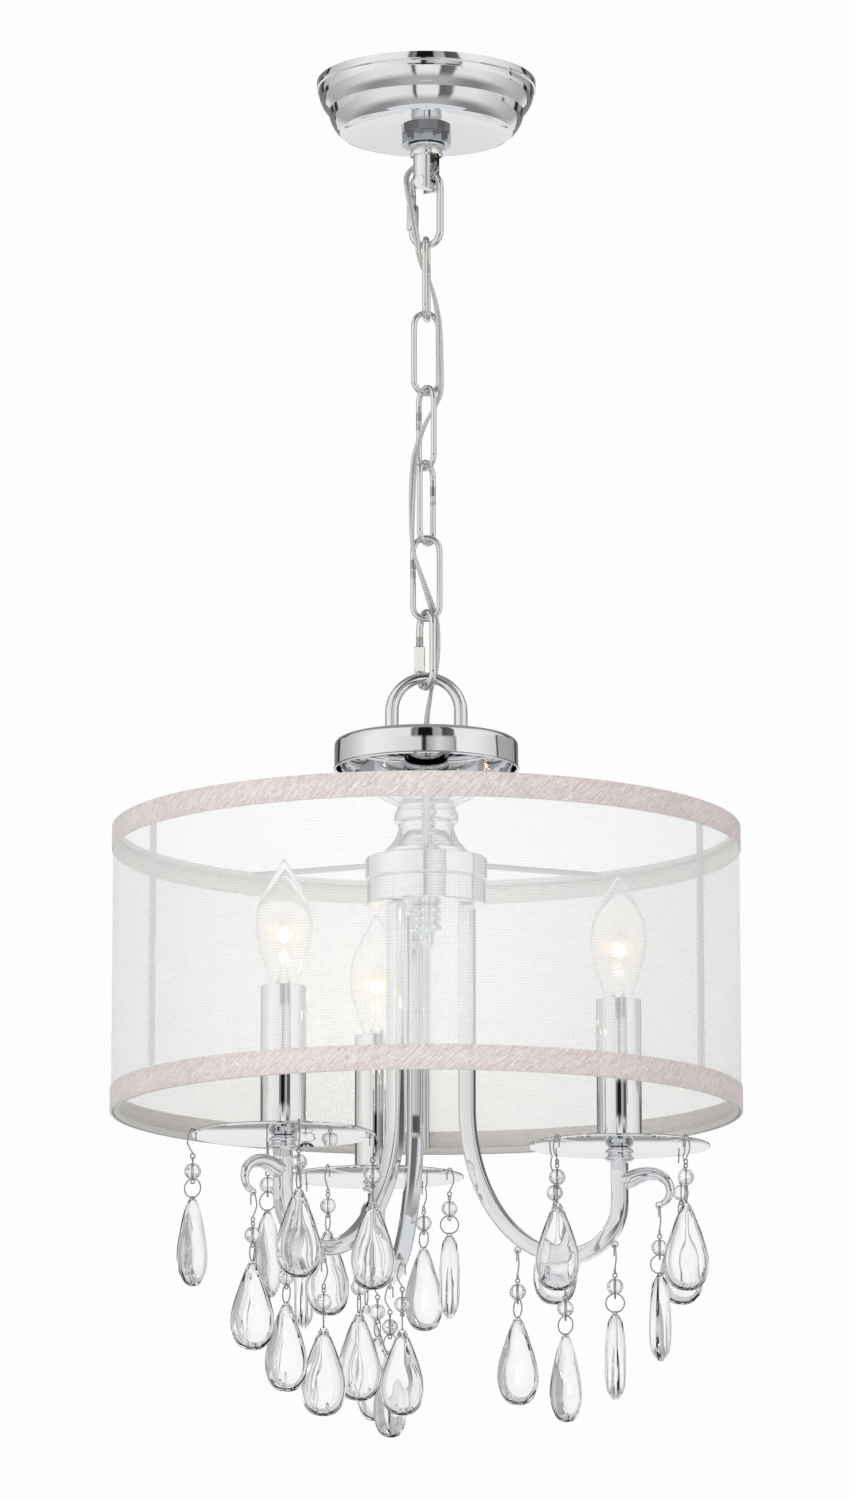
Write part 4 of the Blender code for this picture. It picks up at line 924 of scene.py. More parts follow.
def make_nipple():
    """The threaded tube that carries the lamp."""
    low, high = (corner.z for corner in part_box("canopy_nipple"))
    outline = [(NIPPLE_BORE_RADIUS, high), (NIPPLE_RADIUS, high)]
    for step in range(int((high - low) / THREAD_PITCH) - 1):
        outline += [(NIPPLE_RADIUS, high - THREAD_PITCH * (step + 0.5)),
                    (NIPPLE_RADIUS - THREAD_DEPTH, high - THREAD_PITCH * (step + 1))]
    outline += [(NIPPLE_RADIUS, low), (NIPPLE_BORE_RADIUS, low)]
    fitted(turned("threaded_nipple", outline, SMALL_STEPS, ring=True), BRASS, "canopy_nipple")


def make_crossbar():
    """The pressed strap with its screw slots and the nipple's hole."""
    low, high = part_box("crossbar")
    strap = soften(block("crossbar_strap", high - low, (low + high) / 2), 0.0008, 2)
    straight = SCREW_SLOT_LENGTH - SCREW_SLOT_WIDTH
    cutters = [cylinder("centre_hole", NIPPLE_RADIUS + GAP, -0.006, 0.004)]
    for side in (-1, 1):
        middle = side * SCREW_SLOT_PLACE
        cutters.append(block("screw_slot", (straight, SCREW_SLOT_WIDTH, 0.01), (middle, 0.0, 0.0)))
        for end in (middle - straight / 2, middle + straight / 2):
            cutters.append(cylinder("slot_end", SCREW_SLOT_WIDTH / 2, -0.005, 0.005, (end, 0.0), 24))
    fitted(smooth(cut(strap, *cutters)), ZINC, "crossbar")


# The chain


def oval(length, width, thickness, steps=14):
    """Centreline of an upright link about its own centre."""
    bend = (width - thickness) / 2
    straight = length / 2 - width / 2
    half = []
    for step in range(steps + 1):
        x, z = around(bend, 180 * step / steps)
        half.append((x, 0.0, straight + z))
    half += [(-bend, 0.0, straight * (1 - 2 * step / 6)) for step in range(1, 6)]
    return half + [(-x, 0.0, -z) for x, _, z in half]


def link_rise(upper_half_wire, length, thickness):
    """How far a link's centre stands over the place where it hangs."""
    return upper_half_wire + GAP + thickness - length / 2


def make_links():
    """The five plain links, each with the butt seam of its bent wire."""
    above = QUICK_WIRE / 2
    leg = (LINK_WIDTH - LINK_WIRE) / 2
    seam = [(leg, 0.0, LINK_SEAM * share) for share in (-1.0, -0.25, 0.0, 0.25, 1.0)]
    points = oval(LINK_LENGTH, LINK_WIDTH, LINK_WIRE) + seam
    in_groove = [x > 0.0 and abs(z) < LINK_SEAM / 2 for x, _, z in points]
    shares = [LINK_SEAM_SHARE if inside else 1.0 for inside in in_groove]
    for number in range(1, 6):
        body = f"chain_link_{number}"
        rise = link_rise(above, LINK_LENGTH, LINK_WIRE)
        path = [(x, y, z + rise) for x, y, z in points]
        link = wire(f"{body}_wire", path, LINK_WIRE / 2, closed=True, shares=shares, detail=7)
        placed(link, JOINT_OF[body]["pos_m"], LINK_HEADINGS[body])
        fitted(link, LINK_CHROME, body)
        above = LINK_WIRE / 2


def quick_points(rise):
    """Centreline of a quick link from its mouth round, and the sleeve's middle."""
    leg = (QUICK_WIDTH - QUICK_WIRE) / 2
    middle = rise - QUICK_LENGTH / 2 + QUICK_WIDTH / 2 + SLEEVE_FOOT + SLEEVE_LENGTH / 2
    ring = [(x, y, z + rise) for x, y, z in oval(QUICK_LENGTH, QUICK_WIDTH, QUICK_WIRE)]
    points = [(leg, 0.0, middle + QUICK_MOUTH / 2)] + ring + [(leg, 0.0, middle - QUICK_MOUTH / 2)]
    return points, (leg, 0.0, middle)


def make_sleeve(name, middle):
    """The long threaded nut on a quick link, six-sided with turned ends."""
    half = SLEEVE_LENGTH / 2
    end, neck = half + 0.0001, half - 0.0011
    sleeve = cylinder(name, SLEEVE_RADIUS, -half, half, sides=6)
    cut(sleeve, cylinder("sleeve_bore", QUICK_WIRE / 2 + 0.0001, -half - 0.001, half + 0.001))
    tip = SLEEVE_RADIUS - 0.0009
    outline = [(0.0, -end), (tip, -end), (SLEEVE_RADIUS, -neck), (SLEEVE_RADIUS, neck), (tip, end),
               (0.0, end)]
    cut(sleeve, turned("sleeve_cone", outline, SMALL_STEPS), operation="INTERSECT")
    soften(sleeve, 0.00015, 2, 25.0)
    return placed(smooth(sleeve, 25.0), middle)


def make_quick_links():
    """The closed link on the canopy's loop, and the one over the body with its sleeve."""
    for body, above, sleeve_node in (("quick_link_top", LOOP_BAR_RADIUS, "quick_link_top"),
                                     ("quick_link_bottom", LINK_WIRE / 2, "quick_link_sleeve")):
        points, middle = quick_points(link_rise(above, QUICK_LENGTH, QUICK_WIRE))
        link = wire(f"{body}_wire", points, QUICK_WIRE / 2, detail=7)
        sleeve = make_sleeve(f"{body}_nut", middle)
        for piece in (link, sleeve):
            placed(piece, JOINT_OF[body]["pos_m"], LINK_HEADINGS[body])
        fitted(link, LINK_CHROME, body)
        fitted(sleeve, LINK_CHROME, sleeve_node, stands=sleeve_node != body)


def map_along(item, points, name):
    """A map with the share of the turn across and the length along, in metres."""
    layer = item.data.uv_layers.new(name=name)
    places = [Vector(point) for point in points]
    lengths = [0.0]
    for before, place in zip(places, places[1:]):
        lengths.append(lengths[-1] + (place - before).length)

    def along(z):
        for index, (upper, lower) in enumerate(zip(places, places[1:])):
            if upper.z >= z >= lower.z:
                share = (upper.z - z) / max(upper.z - lower.z, 1e-9)
                return (lengths[index] + share * (lengths[index + 1] - lengths[index]),
                        upper.lerp(lower, share))
        end = 0 if z > places[0].z else -1
        return lengths[end], places[end]

    for loop in item.data.loops:
        co = item.data.vertices[loop.vertex_index].co
        length, centre = along(co.z)
        turn = math.atan2(co.y - centre.y, co.x - centre.x) / math.tau
        layer.data[loop.index].uv = (turn, length)


def make_cord():
    """The clear twin cord laced through the chain, one stretch for each joint that it crosses."""
    route = [Vector(point) for point in eased(CORD_POINTS, 8)]
    strand_radius = CORD_RADIUS / 2
    across = []
    for index, place in enumerate(route):
        ahead = (route[min(index + 1, len(route) - 1)] - route[max(index - 1, 0)]).normalized()
        angle = place.z * CORD_TWIST
        side = Vector((math.cos(angle), math.sin(angle), 0.0))
        side -= ahead * side.dot(ahead)
        across.append(side.normalized() * strand_radius)
    pivots = [JOINT_OF[body]["pos_m"][2] for body in CHAIN_BODIES[1:]]
    cuts = [(high + low) / 2 for high, low in zip(pivots, pivots[1:])]
    for number, (high, low, pivot) in enumerate(zip([1.0] + cuts, cuts + [-1.0], pivots)):
        inside = [index for index, place in enumerate(route) if low < place.z < high]
        stretch = range(max(inside[0] - 2, 0), min(inside[-1] + 2, len(route) - 1) + 1)
        strands = []
        for side in (-1, 1):
            points = [tuple(route[index] + across[index] * side) for index in stretch]
            strands.append(wire(f"cord_strand_{side}", points, strand_radius, detail=4))
            map_along(strands[-1], points, "cord")
        piece = dressed(together(f"supply_cord_{number + 1}", *strands), CORD_LOOK)
        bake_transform(piece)
        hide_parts("supply_cord")


# The lamp's body


def make_body_loop():
    """The arch on the cap, thinner at its crown."""
    middle = BODY_LOOP_TOP - BODY_LOOP_WIDTH / 2
    leg = (BODY_LOOP_WIDTH - BODY_LOOP_LEG) / 2
    crown = (BODY_LOOP_WIDTH - BODY_LOOP_CROWN) / 2
    thinning = BODY_LOOP_CROWN / BODY_LOOP_LEG - 1.0
    points = [(leg, 0.0, CAP_TOP + GAP)]
    shares = [1.0]
    steps = 36
    for step in range(steps + 1):
        angle = math.pi * step / steps
        radius = leg + (crown - leg) * math.sin(angle)
        points.append((radius * math.cos(angle), 0.0, middle + radius * math.sin(angle)))
        shares.append(1.0 + thinning * math.sin(angle))
    points.append((-leg, 0.0, CAP_TOP + GAP))
    shares.append(1.0)
    fitted(wire("body_arch", points, BODY_LOOP_LEG / 2, shares=shares, detail=8), CHROME, "body_loop")


def make_cap():
    """The polished pan over the shade, open below, with a rolled lip."""
    side = CAP_RADIUS - 0.0008
    flat = side - CAP_ROUNDING
    bottom = CAP_TOP - CAP_HEIGHT
    outline = [(CORD_HOLE_RADIUS, CAP_TOP), (flat, CAP_TOP)]
    for degrees in (75, 50, 25, 0):
        across, up = around(CAP_ROUNDING, degrees)
        outline.append((flat + across, CAP_TOP - CAP_ROUNDING + up))
    outline += [(side, bottom + 0.0016), (CAP_RADIUS, bottom + 0.0008), (CAP_RADIUS - 0.0001, bottom)]
    cap = shelled(turned("cap_shell", outline, CROWN_STEPS), 0.0012, 0.0002)
    fitted(smooth(cap, 30.0), CHROME, "body_cap")


def make_column():
    """The turned column: a saucer, a neck, a ring and a bell."""
    def at(*shares):
        return [(COLUMN_RADIUS * across, SAUCER_TOP - COLUMN_HEIGHT * down) for across, down in shares]

    recess = COLUMN_TOP - 0.0085
    outline = [(0.0, recess), (CORD_HOLE_RADIUS, recess), (CORD_HOLE_RADIUS, COLUMN_TOP),
               (COLUMN_NECK_RADIUS, COLUMN_TOP), (COLUMN_NECK_RADIUS, SAUCER_TOP + 0.001),
               (0.0150, SAUCER_TOP)]
    outline += at((1.0, 0.0), (1.0, 0.035))
    outline += eased(at((0.98, 0.055), (0.92, 0.09), (0.78, 0.14), (0.66, 0.185), (0.60, 0.235)), 4)
    outline += at((0.585, 0.25), (0.585, 0.29))
    outline += eased(at((0.61, 0.30), (0.643, 0.35), (0.65, 0.405), (0.643, 0.46), (0.61, 0.50)), 4)
    outline += eased(at((0.572, 0.515), (0.565, 0.56), (0.575, 0.62), (0.60, 0.68), (0.655, 0.76),
                        (0.72, 0.83), (0.79, 0.89), (0.835, 0.935)), 4)
    outline += at((BELL_SHARE, 0.95), (BELL_SHARE, 1.0), (0.0, 1.0))
    fitted(turned("turned_column", outline, rounding=0.0004), CHROME, "column")


def make_hub():
    """The hub, its step, and the socket that the finial screws into."""
    bottom = HUB_TOP - HUB_HEIGHT
    step = HUB_TOP - HUB_STEP
    lower = HUB_RADIUS - 0.0008
    outline = [(0.0, HUB_TOP), (HUB_RADIUS - 0.0006, HUB_TOP), (HUB_RADIUS, HUB_TOP - 0.0006),
               (HUB_RADIUS, step + 0.0004), (HUB_RADIUS - 0.0004, step), (lower - 0.0008, step - 0.0004),
               (lower, step - 0.0012), (lower, bottom + 0.0006), (lower - 0.0006, bottom), (0.0043, bottom),
               (0.0043, bottom + 0.0103), (0.0, bottom + 0.0103)]
    fitted(turned("stepped_hub", outline, CROWN_STEPS), CHROME, "arm_hub")


def make_finial():
    """The ringed finial below the hub."""
    low, high = (corner.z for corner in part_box("hub_finial"))
    height = HUB_TOP - HUB_HEIGHT - GAP
    outline = [(0.0, high), (0.004, high), (0.004, height), (0.0080, height)]
    for radius, tall in ((0.0086, 0.0050), (0.0083, 0.0046), (0.0086, 0.0046)):
        outline += eased([(radius - 0.0009, height - 0.0003), (radius, height - 0.0014),
                          (radius, height - tall + 0.0012), (radius - 0.0009, height - tall + 0.0002)], 3)
        outline.append((radius - 0.0013, height - tall - 0.0001))
        height -= tall + 0.0003
    outline += eased([(0.0060, height), (0.0045, height - 0.0016), (0.0044, height - 0.0040),
                      (0.0040, height - 0.0062)], 3)
    outline += [(0.0030, low + 0.0004), (0.0014, low), (0.0, low)]
    fitted(turned("ringed_finial", outline, SMALL_STEPS), CHROME, "hub_finial")


def make_shade_frame():
    """Two rings, three struts and the spider that holds the shade."""
    top = SHADE_TOP - 0.002
    bottom = SHADE_TOP - SHADE_HEIGHT + 0.002
    rings = []
    for height in (top, bottom):
        circle = [(*around(FRAME_RING_RADIUS, 360 * step / 160), height) for step in range(160)]
        rings.append(wire("frame_ring", circle, FRAME_WIRE / 2, closed=True))
    disc_radius = COLUMN_RADIUS * BELL_SHARE + 0.0035
    disc_low, disc_high = HUB_TOP + GAP, HUB_TOP + GAP + 0.0014
    pieces = [turned("spider_disc", [(0.0, disc_high), (disc_radius, disc_high), (disc_radius, disc_low),
                                     (0.0, disc_low)], rounding=0.0003)]
    middle = (disc_low + disc_high) / 2
    reach = ((disc_radius - 0.0026, middle + FRAME_WIRE / 2), (0.05, middle + 0.0023),
             (FRAME_RING_RADIUS - 0.0009, top))
    upright = ((FRAME_RING_RADIUS, top), (FRAME_RING_RADIUS, bottom))
    for name, headings, line in (("spider_arm", SPIDER_HEADINGS, reach), ("strut", STRUT_HEADINGS, upright)):
        for heading in headings:
            points = [(*around(radius, heading), height) for radius, height in line]
            pieces.append(wire(name, points, FRAME_WIRE / 2))
    covered_rings = together("shade_rings", *rings)
    map_round(covered_rings)
    fitted(covered_rings, LINING, "shade_frame")
    covered_rings.visible_glossy = False
    fitted(together("shade_wires", *pieces), WIRE_CHROME, "shade_frame")


def map_round(item):
    """A map of the way round and the height, in metres."""
    layer = item.data.uv_layers.new(name="cloth")
    for face in item.data.polygons:
        turns = []
        for index in face.loop_indices:
            co = item.data.vertices[item.data.loops[index].vertex_index].co
            turns.append((index, math.atan2(co.y, co.x), co.z, math.hypot(co.x, co.y)))
        wraps = max(turn[1] for turn in turns) - min(turn[1] for turn in turns) > math.pi
        for index, angle, height, radius in turns:
            if wraps and angle < 0:
                angle += math.tau
            layer.data[index].uv = (angle * SHADE_RADIUS, height + (radius - SHADE_RADIUS))


def make_shade():
    """The sheer drum, and the silk trims folded over both edges with their linings."""
    top, bottom = SHADE_TOP, SHADE_TOP - SHADE_HEIGHT
    inner = SHADE_RADIUS - TRIM_WALL
    middle = inner + 0.0006
    fold = 0.0005
    veil = turned("shade_veil", [(middle, top - 0.001), (middle, bottom + 0.001)], CLOTH_STEPS)
    use_modifier(veil, "SOLIDIFY", thickness=VEIL_WALL, offset=0.0)
    map_round(veil)
    fitted(smooth(veil), ORGANZA, "shade_fabric")
    trims = []
    linings = []
    for name, high in (("top", top), ("bottom", bottom + TRIM_HEIGHT)):
        low = high - TRIM_HEIGHT
        outer = [(inner + 0.0010, high - 0.0002), (SHADE_RADIUS - fold, high), (SHADE_RADIUS, high - fold),
                 (SHADE_RADIUS, low + fold), (SHADE_RADIUS - fold, low), (inner + 0.0010, low + 0.0002)]
        behind = [(inner, high - 0.0002), (inner + 0.0003, high), (inner + 0.0009, high),
                  (inner + 0.0009, low), (inner, low)]
        for label, outline, look, bands in (("trim", outer, SILK, trims),
                                            ("lining", behind, LINING, linings)):
            band = turned(f"{name}_{label}", outline, CLOTH_STEPS, ring=True, angle=50.0)
            map_round(band)
            bands.append(fitted(band, look, "shade_fabric"))
    for piece in (veil, *trims, *linings):
        piece.visible_glossy = False


# Arms, pans and candles


def sweep_place(degrees):
    """A place on the arm's lower sweep, and the way out of it."""
    across, down = around(1.0, degrees)
    place = Vector((SWEEP_RADIUS - ARM_SWEEP_REACH * across, SWEEP_TOP - ARM_SWEEP_DEPTH * down))
    outward = Vector((-ARM_SWEEP_DEPTH * across, -ARM_SWEEP_REACH * down))
    return place, outward.normalized()


def upturn_place(degrees):
    """A place on the bend up to the candle, and the way out of it."""
    outward = Vector(around(1.0, degrees))
    return Vector((SWEEP_RADIUS, UPTURN_HEIGHT)) + outward * ARM_UPTURN_RADIUS, outward


def scroll_line():
    """Centreline and thickness shares of the scroll beyond the candle."""
    root = UPTURN_HEIGHT + ARM_RING_RISE - 0.011 + GAP
    centre = Vector((CANDLE_RADIUS + 0.0215, root - 0.008))
    points = [(CANDLE_RADIUS + ARM_BAR / 4, 0.0, root)]
    shares = [1.0]
    steps = 44
    thinnest = 0.38
    for step in range(steps + 1):
        share = 1.0 - step / steps
        degrees = -60.0 + 212.7 * share
        radius = 0.0072 + 0.0038 * share + 0.0064 * share ** 6
        place = centre + Vector(around(radius, degrees))
        points.append((place.x, 0.0, place.y))
        shares.append(thinnest + (1.0 - thinnest) * share ** 1.7)
    return points, shares


def eye_places():
    """Radius and height of the small eyes along the arm and at the scroll's tip."""
    out = ARM_BAR / 2 + 0.0018
    places = [sweep_place(63.5), sweep_place(88.0), upturn_place(-42.0)]
    centres = [place + outward * out for place, outward in places]
    before, tip = (Vector((x, z)) for x, _, z in scroll_line()[0][-2:])
    centres.append(tip + (tip - before).normalized() * 0.002125)
    return centres


def make_arm_bar():
    """The square bar from the hub down, along its sweep and up to the candle."""
    half = ARM_BAR / 2
    stations = [(Vector((ARM_ROOT_RADIUS, ARM_TOP)), Vector((-1.0, 0.0)))]
    stations += [sweep_place(90 * step / 24) for step in range(24)]
    stations += [upturn_place(-90 + 90 * step / 14) for step in range(15)]
    stations.append((Vector((CANDLE_RADIUS, RING_BOTTOM + 0.002)), Vector((1.0, 0.0))))
    under = [place + outward * half for place, outward in stations]
    over = [place - outward * half for place, outward in stations]
    bar = filled_slab("arm_bar", [(point.x, -half, point.y) for point in over + under[::-1]], ARM_BAR)
    mark_all()
    bpy.ops.mesh.normals_make_consistent(inside=False)
    leave()
    soften(bar, ARM_CHAMFER, 4, 40.0)
    return smooth(bar, 30.0)


def make_arm_casting():
    """One arm along +X: its bar, ring stack, scroll and eyes."""
    valley = 0.0068
    tall = ARM_RING_HEIGHT / 2
    outline = [(0.0, RING_BOTTOM + ARM_RING_HEIGHT)]
    for top in (RING_BOTTOM + ARM_RING_HEIGHT, RING_BOTTOM + tall):
        outline += [(valley, top), *bulged(top, tall, ARM_RING_RADIUS, 0.0008), (valley, top - tall)]
    outline.append((0.0, RING_BOTTOM))
    bar = make_arm_bar()
    stack = placed(turned("ring_stack", outline, SMALL_STEPS), (CANDLE_RADIUS, 0.0, 0.0))
    points, shares = scroll_line()
    scroll = soften(wire("scroll", points, 0.005, shares=shares, detail=7), 0.0006, 2, 50.0)
    collar = smooth(soften(cylinder("collar", 0.0054, -0.0008, 0.0012), 0.0005, 3))
    placed(collar, (CANDLE_RADIUS + ARM_BAR / 2, 0.0, points[0][2]), lay="Y")
    eyes = []
    for centre in eye_places():
        clear_selection()
        bpy.ops.mesh.primitive_torus_add(major_radius=HOOK_RADIUS, minor_radius=0.00062, major_segments=28,
                                         minor_segments=12)
        eye = smooth(bpy.context.active_object, 60.0)
        eyes.append(placed(eye, (centre.x, 0.0, centre.y), lay="X"))
    return together("arm_pattern", bar, stack, scroll, collar, *eyes)


def make_pan_disc():
    """One drip pan about its own axis: a thin plate with a turned edge and four hook holes."""
    low, high = PAN_BOTTOM, PAN_BOTTOM + PAN_WALL
    lip = PAN_RADIUS - 0.0006
    outline = [(PAN_CENTRE_RADIUS, high), (PAN_RADIUS - PAN_EDGE, high - 0.0002), (lip, high),
               (PAN_RADIUS, high - 0.0005), (PAN_RADIUS, low + 0.0005), (lip, low),
               (PAN_RADIUS - PAN_EDGE, low + 0.0002), (PAN_CENTRE_RADIUS, low)]
    pan = turned("pan_pattern", outline, CROWN_STEPS, ring=True)
    holes = [cylinder("hook_hole", PAN_HOLE_RADIUS, low - 0.002, high + 0.002,
                      around(PAN_HOLE_PLACE, 90 * step), TINY_STEPS) for step in range(4)]
    return smooth(cut(pan, *holes), 30.0)


def make_candle_tube():
    low, high = SLEEVE_BOTTOM, SLEEVE_BOTTOM + SLEEVE_TUBE_HEIGHT
    inner = SLEEVE_TUBE_RADIUS - SLEEVE_TUBE_WALL
    outline = [(SLEEVE_TUBE_RADIUS, high), (SLEEVE_TUBE_RADIUS, low), (inner, low), (inner, high)]
    return turned("tube_pattern", outline, ring=True, rounding=0.0003)


def make_socket_cup():
    """The socket: a cup on its stem."""
    cup = SLEEVE_TUBE_RADIUS - SLEEVE_TUBE_WALL - 0.0006
    floor, foot = CUP_TOP - CUP_DEPTH, CUP_TOP - CUP_HEIGHT
    outline = [(0.0, floor), (0.0071, floor), (0.0071, CUP_TOP - 0.001), (0.0078, CUP_TOP),
               (cup - 0.0008, CUP_TOP), (cup, CUP_TOP - 0.0008), (cup, foot), (SOCKET_STEM_RADIUS, foot),
               (SOCKET_STEM_RADIUS, PAN_BOTTOM), (0.0, PAN_BOTTOM)]
    return turned("socket_pattern", outline, SMALL_STEPS)


def make_bulb_glass():
    """The candle-shaped envelope, thin-walled."""
    shares = ((0.46, 0.0), (0.50, 0.05), (0.70, 0.19), (0.88, 0.31), (0.97, 0.41), (1.0, 0.5), (0.93, 0.62),
              (0.77, 0.72), (0.55, 0.81), (0.36, 0.88), (0.20, 0.94), (0.09, 0.98), (0.0, 1.0))
    outline = [(BULB_RADIUS * across, BULB_FOOT + BULB_HEIGHT * up) for across, up in eased(shares, 3)]
    envelope = turned("bulb_glass_pattern", outline, angle=60.0)
    return smooth(use_modifier(envelope, "SOLIDIFY", thickness=0.0009, offset=-1.0), 60.0)


def make_bulb_base():
    """The screw base."""
    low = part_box("bulb_1")[0].z
    outline = [(0.0, BULB_FOOT + 0.001), (0.0066, BULB_FOOT + 0.001), (0.0066, BULB_FOOT - 0.002)]
    for step in range(5):
        turn = BULB_FOOT - 0.003 * step
        outline += [(0.0060, turn - 0.0035), (0.0067, turn - 0.005)]
    outline += [(0.0055, low + 0.003), (0.003, low + 0.001), (0.0025, low), (0.0, low)]
    return turned("bulb_base_pattern", outline, SMALL_STEPS)


def make_bulb_stem():
    """The glass stem inside, with the two leads that hold the filament."""
    flare = eased([(0.0, 0.020), (0.0012, 0.0195), (0.0016, 0.014), (0.0030, 0.007), (0.0052, 0.001)], 4)
    outline = [(radius, BULB_FOOT + rise) for radius, rise in flare + [(0.0, 0.001)]]
    stem = turned("stem", outline, TINY_STEPS)
    reach = ((0.0012, 0.016), (0.0030, 0.025), (FILAMENT_REACH, FILAMENT_RISE))
    leads = []
    for side in (-1, 1):
        points = [(side * across, 0.0, BULB_FOOT + rise) for across, rise in reach]
        leads.append(wire("lead", points, 0.0002, detail=2))
    return together("bulb_stem_pattern", stem, *leads)


def make_filament():
    """The coil, arched between its leads."""
    coil = []
    steps = FILAMENT_TURNS * 8
    for step in range(steps + 1):
        share = step / steps
        y, z = around(COIL_RADIUS, 360 * FILAMENT_TURNS * share)
        lift = math.sin(math.pi * share) * FILAMENT_ARCH
        coil.append((FILAMENT_REACH * (2 * share - 1), y, BULB_FOOT + FILAMENT_RISE + lift + z))
    return wire("filament_pattern", coil, 0.00022, detail=2)


def make_glow_shell(radius):
    shell = ball("glow_shell", radius, 36, 20)
    return smooth(placed(shell, (0.0, 0.0, HOT_HEIGHT), scale=(1.0, 1.0, 1.35)), 60.0)


def make_bulb_light(node, place):
    """The light that the filament gives."""
    bpy.ops.object.light_add(type="POINT", location=place)
    light = bpy.context.active_object
    light.visible_glossy = False
    light.data.energy = 0.05
    light.data.color = (1.0, 0.78, 0.5)
    light.data.shadow_soft_size = 0.004
    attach(light, BODY_OF[node])


def make_arms():
    """Three of each: arm, pan, tube, socket and bulb, each copy with its own mesh."""
    glow = [make_glow_shell(radius) for radius in GLOW_RADII]
    on_candle = (
        (make_pan_disc(), "drip_pan_{}", "drip_pan_{}_plate", CHROME),
        (make_candle_tube(), "candle_sleeve_{}", "candle_tube_{}", CHROME),
        (make_socket_cup(), "socket_{}", "candle_socket_{}", PORCELAIN),
        (make_bulb_glass(), "bulb_{}", "bulb_{}_glass", BULB_GLASS),
        (make_bulb_base(), "bulb_{}", "bulb_{}_base", BRASS),
        (make_bulb_stem(), "bulb_{}", "bulb_{}_stem", BULB_GLASS),
        (make_filament(), "bulb_{}", "bulb_{}_filament", FILAMENT),
        (make_glow_shell(CORE_RADIUS), "bulb_{}", "bulb_{}_core", CORE),
        (together("glow_pattern", *glow), "bulb_{}", "bulb_{}_glow", GLOW))
    arm = make_arm_casting()
    for number, (heading, pan_heading) in enumerate(zip(ARM_HEADINGS, PAN_HEADINGS), start=1):
        casting = placed(copied(arm, f"arm_{number}_casting"), heading=heading)
        fitted(casting, CHROME, f"arm_{number}")
        x, y = around(CANDLE_RADIUS, heading)
        for pattern, node, name, look in on_candle:
            piece = placed(copied(pattern, name.format(number)), (x, y, 0.0), pan_heading)
            fitted(piece, look, node.format(number))
            piece.visible_shadow = look not in (BULB_GLASS, CORE, GLOW)
        make_bulb_light(f"bulb_{number}", (x, y, CUP_TOP + FILAMENT_RISE))
    drop_patterns(arm, *(row[0] for row in on_candle))


# Crystal strands


def make_drop():
    """One almond crystal: a girdle, two bevelled faces and a drilled top."""
    shares = ((0.0, 0.0), (0.13, 0.02), (0.26, 0.075), (0.43, 0.17), (0.62, 0.30), (0.80, 0.43),
              (0.94, 0.555), (1.0, 0.67), (0.955, 0.79), (0.80, 0.895), (0.54, 0.965), (0.25, 0.993),
              (0.0, 1.0))
    right = [(CRYSTAL_WIDTH / 2 * across, -CRYSTAL_LENGTH * down) for across, down in eased(shares, 4)]
    edge = CRYSTAL_GIRDLE / 2
    loop = [(x, edge, z) for x, z in right] + [(-x, edge, z) for x, z in right[-2:0:-1]]
    drop = filled_slab("drop_pattern", loop, -CRYSTAL_GIRDLE)
    leave()
    heart = (0.0, 0.0, -CRYSTAL_LENGTH * 0.62)
    rise = (CRYSTAL_THICKNESS - CRYSTAL_GIRDLE) / 2
    for side in (-1, 1):
        edit(drop)
        bpy.ops.mesh.select_all(action="DESELECT")
        bpy.ops.mesh.select_mode(type="FACE")
        leave()
        for face in drop.data.polygons:
            face.select = abs(face.normal.y) > 0.9 and face.center.y * side > edge / 2
        bpy.ops.object.mode_set(mode="EDIT")
        for lift, share in ((0.68, 0.74), (0.22, 0.66), (0.10, 0.5)):
            push((0.0, side * rise * lift, 0.0))
            bpy.ops.transform.resize(value=(share, 1.0, share + 0.05), center_override=heart)
        bpy.ops.mesh.select_mode(type="VERT")
        mark_all()
        bpy.ops.mesh.normals_make_consistent(inside=False)
        leave()
    hole = cylinder("drill", 0.0009, -0.01, 0.01, sides=TINY_STEPS)
    return smooth(cut(drop, placed(hole, (0.0, 0.0, -0.0021), lay="X")), 18.0)


def ring_points(radius, centre_height, flat_turn=0.0, steps=24):
    """Points of an upright ring, turned in degrees about the upright axis."""
    points = []
    for step in range(steps):
        x, z = around(radius, 90 + 360 * step / steps)
        points.append((*around(x, flat_turn), centre_height + z))
    return points


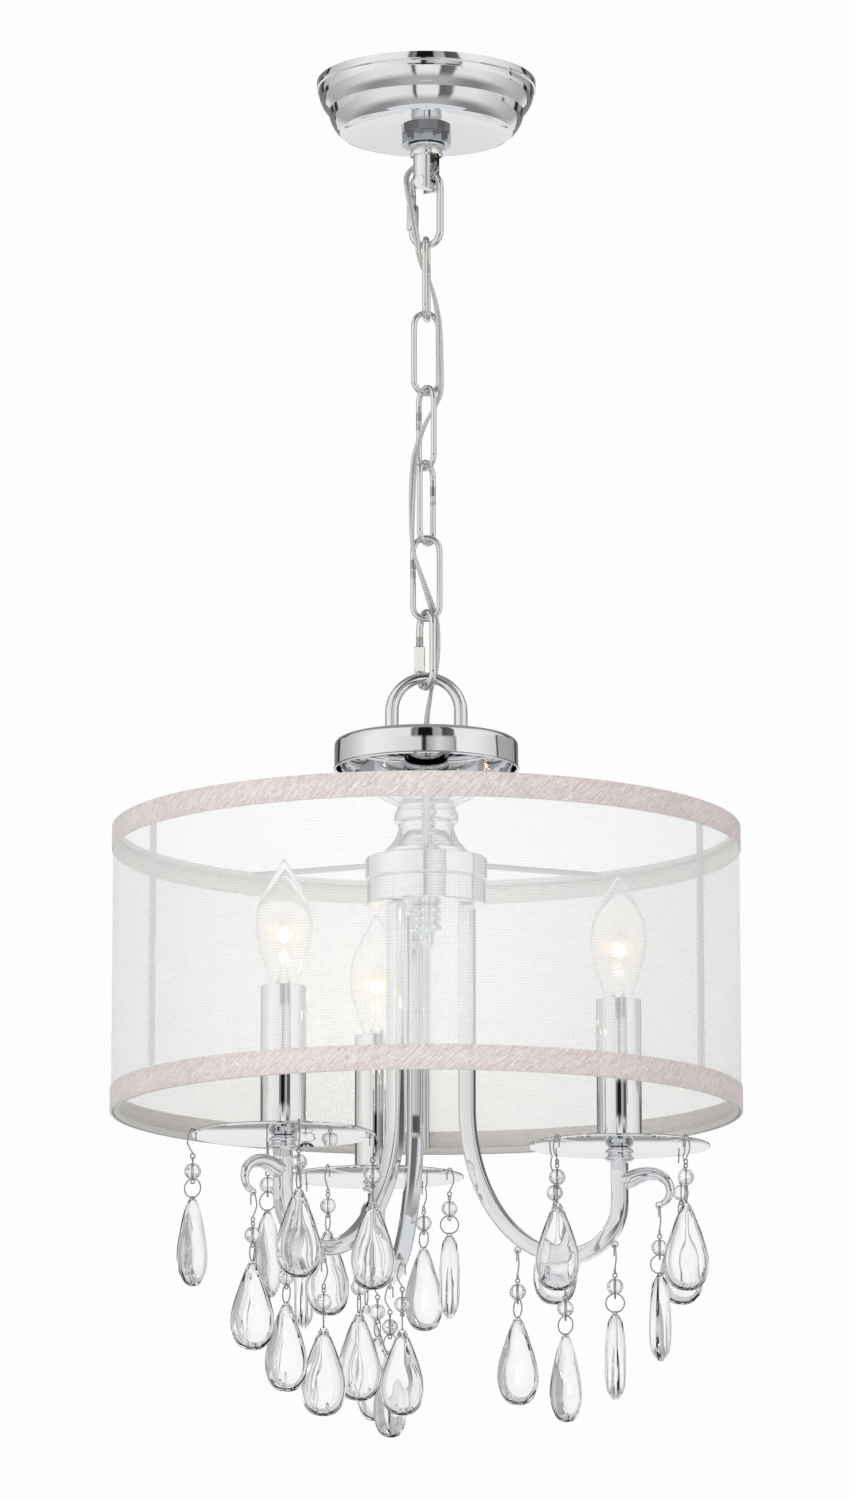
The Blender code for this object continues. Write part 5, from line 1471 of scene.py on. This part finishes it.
def make_hook():
    """The ear wire over the rim with its bowed shank and small eye, then the bead's pin and its eyes."""
    bend = [(x, 0.0, z) for x, z in (around(HOOK_RADIUS, 180 - 180 * step / 12) for step in range(13))]
    shank = eased([(HOOK_RADIUS, 0.0, 0.0), (0.0027, 0.0, -0.0032), (0.0030, 0.0, -0.0062),
                   (0.0018, 0.0, -0.0092), (0.0004, 0.0, -0.0114), (0.0, 0.0, -0.0124)], 4)
    tail = [(-HOOK_RADIUS, 0.0, -0.0052), (-HOOK_RADIUS, 0.0, -0.002)]
    pieces = [wire("hook", tail + bend + shank[1:], HOOK_WIRE / 2, detail=3)]
    for radius, height, turn in ((0.0013, -0.0137, 0.0), (0.0012, -0.0160, 90.0), (0.0011, -0.0283, 0.0)):
        pieces.append(wire("eye", ring_points(radius, height, turn), RING_WIRE / 2, closed=True, detail=3))
    pin = wire("bead_pin", [(0.0, 0.0, -0.0171), (0.0, 0.0, -0.0275)], RING_WIRE / 2, detail=3)
    return together("hook_pattern", *pieces, pin)


def make_strand(node, facing, bead_turn, patterns):
    """One strand under its joint: hook wire and jump ring, bead and drop."""
    drop, bead, hook = patterns
    joint = JOINT_OF[BODY_OF[node]]
    axis, pivot = joint["axis"], Vector(joint["pos_m"])
    metalwork = placed(copied(hook, f"{node}_hook"), pivot, math.degrees(math.atan2(-axis[0], axis[1])))
    points = ring_points((RING_DIAMETER - RING_WIRE) / 2, -RING_DROP, facing + 90, 40)
    ring = placed(wire(f"{node}_ring", points, RING_WIRE / 2, closed=True, detail=3), pivot)
    fitted(together(f"{node}_wire", metalwork, ring), HOOK_CHROME, node)
    for label, pattern, fall, heading in (("bead", bead, BEAD_DROP, facing + bead_turn),
                                          ("drop", drop, CRYSTAL_DROP, facing)):
        piece = placed(copied(pattern, f"{node}_{label}"), pivot - Vector((0.0, 0.0, fall)), heading)
        fitted(piece, CRYSTAL, node)


def make_strands():
    """Twenty-four strands, each a hook, a bead, a jump ring and a drop."""
    drop = make_drop()
    bead = soften(ball("bead_pattern", BEAD_DIAMETER / 2, 12, 8), 0.0002, 2, 5.0)
    patterns = (drop, bead, make_hook())
    for index in range(3):
        for place in range(4):
            for kind, headings in (("pan", PAN_DROP_HEADINGS), ("arm", ARM_DROP_HEADINGS)):
                node = f"{kind}_strand_{index + 1}_{place + 1}"
                make_strand(node, headings[index][place], BEAD_TURN * place, patterns)
    drop_patterns(*patterns)


make_camera()
make_world()
make_studio()
make_cord()
make_canopy()
make_nut()
make_loop()
make_nipple()
make_crossbar()
make_links()
make_quick_links()
make_body_loop()
make_cap()
make_column()
make_hub()
make_finial()
make_shade_frame()
make_shade()
make_arms()
make_strands()
